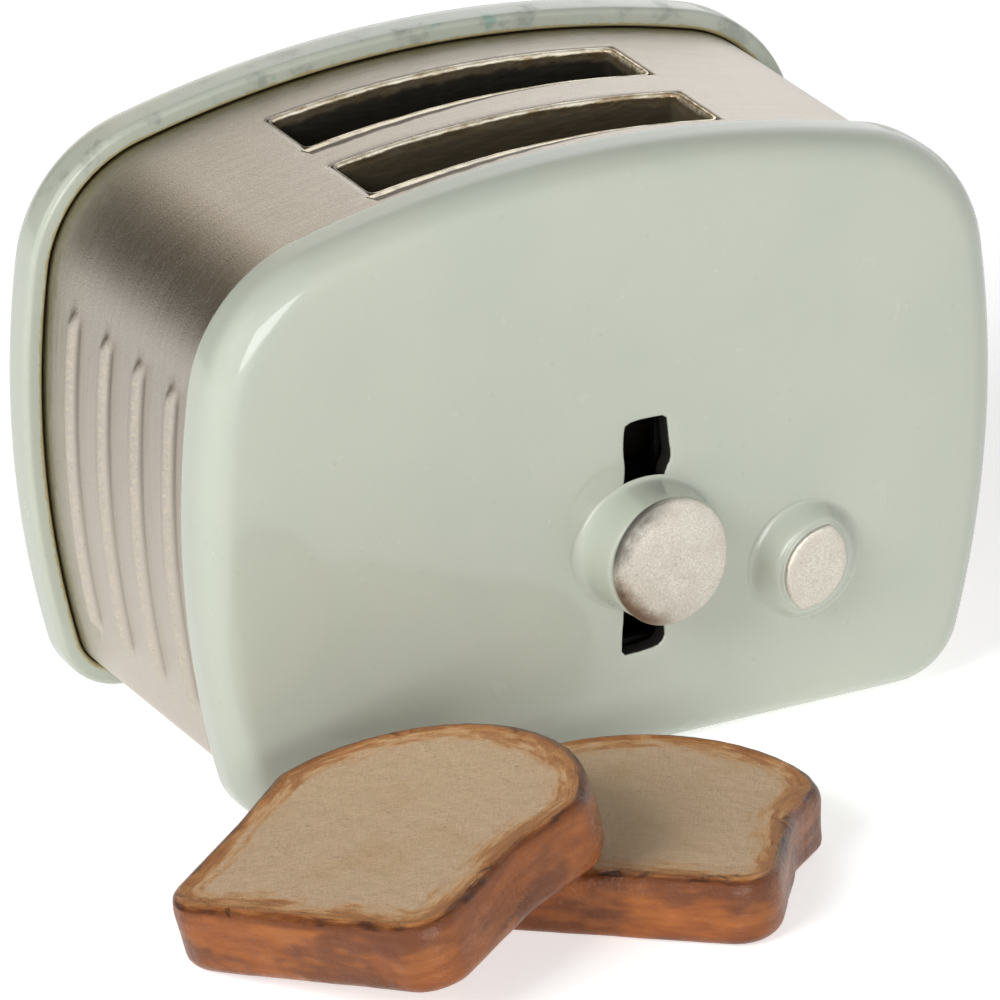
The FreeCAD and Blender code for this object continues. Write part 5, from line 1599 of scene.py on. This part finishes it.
# %% Table
TABLE_GREY = 0.88
TABLE_GLOW = 0.42
TABLE_EXTRA = 0.16
TABLE_HALF = 4
TABLE_DROP = 0.05


def table():
    mesh = bpy.data.meshes.new("table")
    corners = [(x * TABLE_HALF, y * TABLE_HALF, 0) for x, y in ((-1, -1), (1, -1), (1, 1), (-1, 1))]
    mesh.from_pydata(corners, [], [(0, 1, 2, 3)])
    made = in_scene("table", mesh)
    made.location.z = -TABLE_DROP * MM
    look = bpy.data.materials.new("table")
    look.use_nodes = True
    seen = node(look.node_tree, "ShaderNodeLightPath", {})["Is Camera Ray"]
    mesh.materials.append(end_finish(look, {
        "Base Color": (TABLE_GREY, TABLE_GREY, TABLE_GREY, 1.0), "Roughness": 0.8, "Emission Color": WHITE,
        "Emission Strength": seen * TABLE_EXTRA + TABLE_GLOW,
    }))
    made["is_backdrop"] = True


table()

# %% Room
ROOM_LEVEL = 0.36
CEILING_LEVEL = 0.35
BRIGHT_LEVEL = 1.5
BRIGHT_WALL = Vector((0.5, 0.82, 0.28)).normalized()
DARK_CORNER = Vector((-0.52, 0.84, 0.17)).normalized()
DARK_BROWN, WARM = (0.03, 0.020, 0.010), (0.82, 0.73, 0.59)


def room():
    world = bpy.data.worlds.new("studio")
    bpy.context.scene.world = world
    world.use_nodes = True
    tree = world.node_tree
    tree.nodes.clear()
    direction = node(tree, "ShaderNodeTexCoord", {})["Generated"]
    corner, wall = (
        vector_maths("DOT_PRODUCT", direction, tuple(way))["Value"] for way in (DARK_CORNER, BRIGHT_WALL))
    bright = between(wall, 0.55, 0.95, 1.0, BRIGHT_LEVEL)
    above = between(parts(direction)[2], 0.5, 0.82, 1.0, CEILING_LEVEL)
    walls = mix(between(corner, 0.5, 0.85), WHITE[:3], WARM)
    walls = mix(between(corner, 0.71, 0.96), walls, DARK_BROWN)
    rays = node(tree, "ShaderNodeLightPath", {})
    level = (rays["Is Glossy Ray"] * (1.0 - ROOM_LEVEL) + ROOM_LEVEL) * bright * above
    lit = node(tree, "ShaderNodeBackground", {"Color": walls, "Strength": level})[0]
    plain = node(tree, "ShaderNodeBackground", {"Color": WHITE, "Strength": 1.0})[0]
    shown = node(tree, "ShaderNodeMixShader", {0: rays["Is Camera Ray"], 1: lit, 2: plain})[0]
    node(tree, "ShaderNodeOutputWorld", {0: shown})


room()


# %% Lamps
def lamp(name, azimuth, elevation, distance, width, height, power, mirrored=True):
    """Soft box round the toy: azimuth 0 is in front, positive to the right. Not every box leaves a glint."""
    a, e = math.radians(azimuth), math.radians(elevation)
    towards = Vector((math.sin(a) * math.cos(e), -math.cos(a) * math.cos(e), math.sin(e)))
    light = bpy.data.lights.new(name, "AREA")
    light.shape = "RECTANGLE"
    light.size, light.size_y, light.energy = width, height, power
    made = in_scene(name, light)
    made.location = Vector((0, 0, BODY_HEIGHT / 2 * MM)) + towards * distance
    made.rotation_euler = (-towards).to_track_quat("-Z", "Y").to_euler()
    made.visible_camera, made.visible_glossy = False, mirrored


lamp("front", -13, 8, 0.9, 0.5, 0.4, 3.1)
lamp("side", -68, 32, 1.0, 0.45, 0.45, 6.5, mirrored=False)

# %% Camera
AZIMUTH, ELEVATION, ROLL = (math.radians(angle) for angle in (-28.26, 23.79, -0.4))
DISTANCE = 804.49
AIM = Vector((2.86, 0.0, 11.96))
SENSOR = 36.0
LENS = 426.8
SHIFT = (-0.0379, 0.0082)
NEAREST_SEEN = 0.01


def camera():
    data = bpy.data.cameras.new("camera")
    data.sensor_width, data.lens = SENSOR, LENS
    data.shift_x, data.shift_y = SHIFT
    data.clip_start = NEAREST_SEEN
    back = Vector((
        math.sin(AZIMUTH) * math.cos(ELEVATION), -math.cos(AZIMUTH) * math.cos(ELEVATION), math.sin(ELEVATION)))
    level = Vector((0, 0, 1)).cross(back).normalized()
    upward = back.cross(level)
    right = level * math.cos(ROLL) + upward * math.sin(ROLL)
    up = upward * math.cos(ROLL) - level * math.sin(ROLL)
    place = Matrix((right, up, back)).transposed().to_4x4()
    place.translation = (AIM + back * DISTANCE) * MM
    made = in_scene("camera", data)
    made.matrix_world = place
    bpy.context.scene.camera = made
    bpy.context.scene.view_settings.view_transform = "Standard"


camera()

# %% [markdown]
# ## Last look at the size
# Paint and plating must not make the toy larger. The box of everything is written down next to the box of
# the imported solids, so that the two can be compared.

# %% Compare the boxes and finish
visual_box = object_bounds()
for axis, letter in enumerate("xyz"):
    sizes = [1000 * (box[1][axis] - box[0][axis]) for box in (cad_box, visual_box)]
    print(f"{letter}: solids {sizes[0]:.2f} mm, dressed {sizes[1]:.2f} mm")
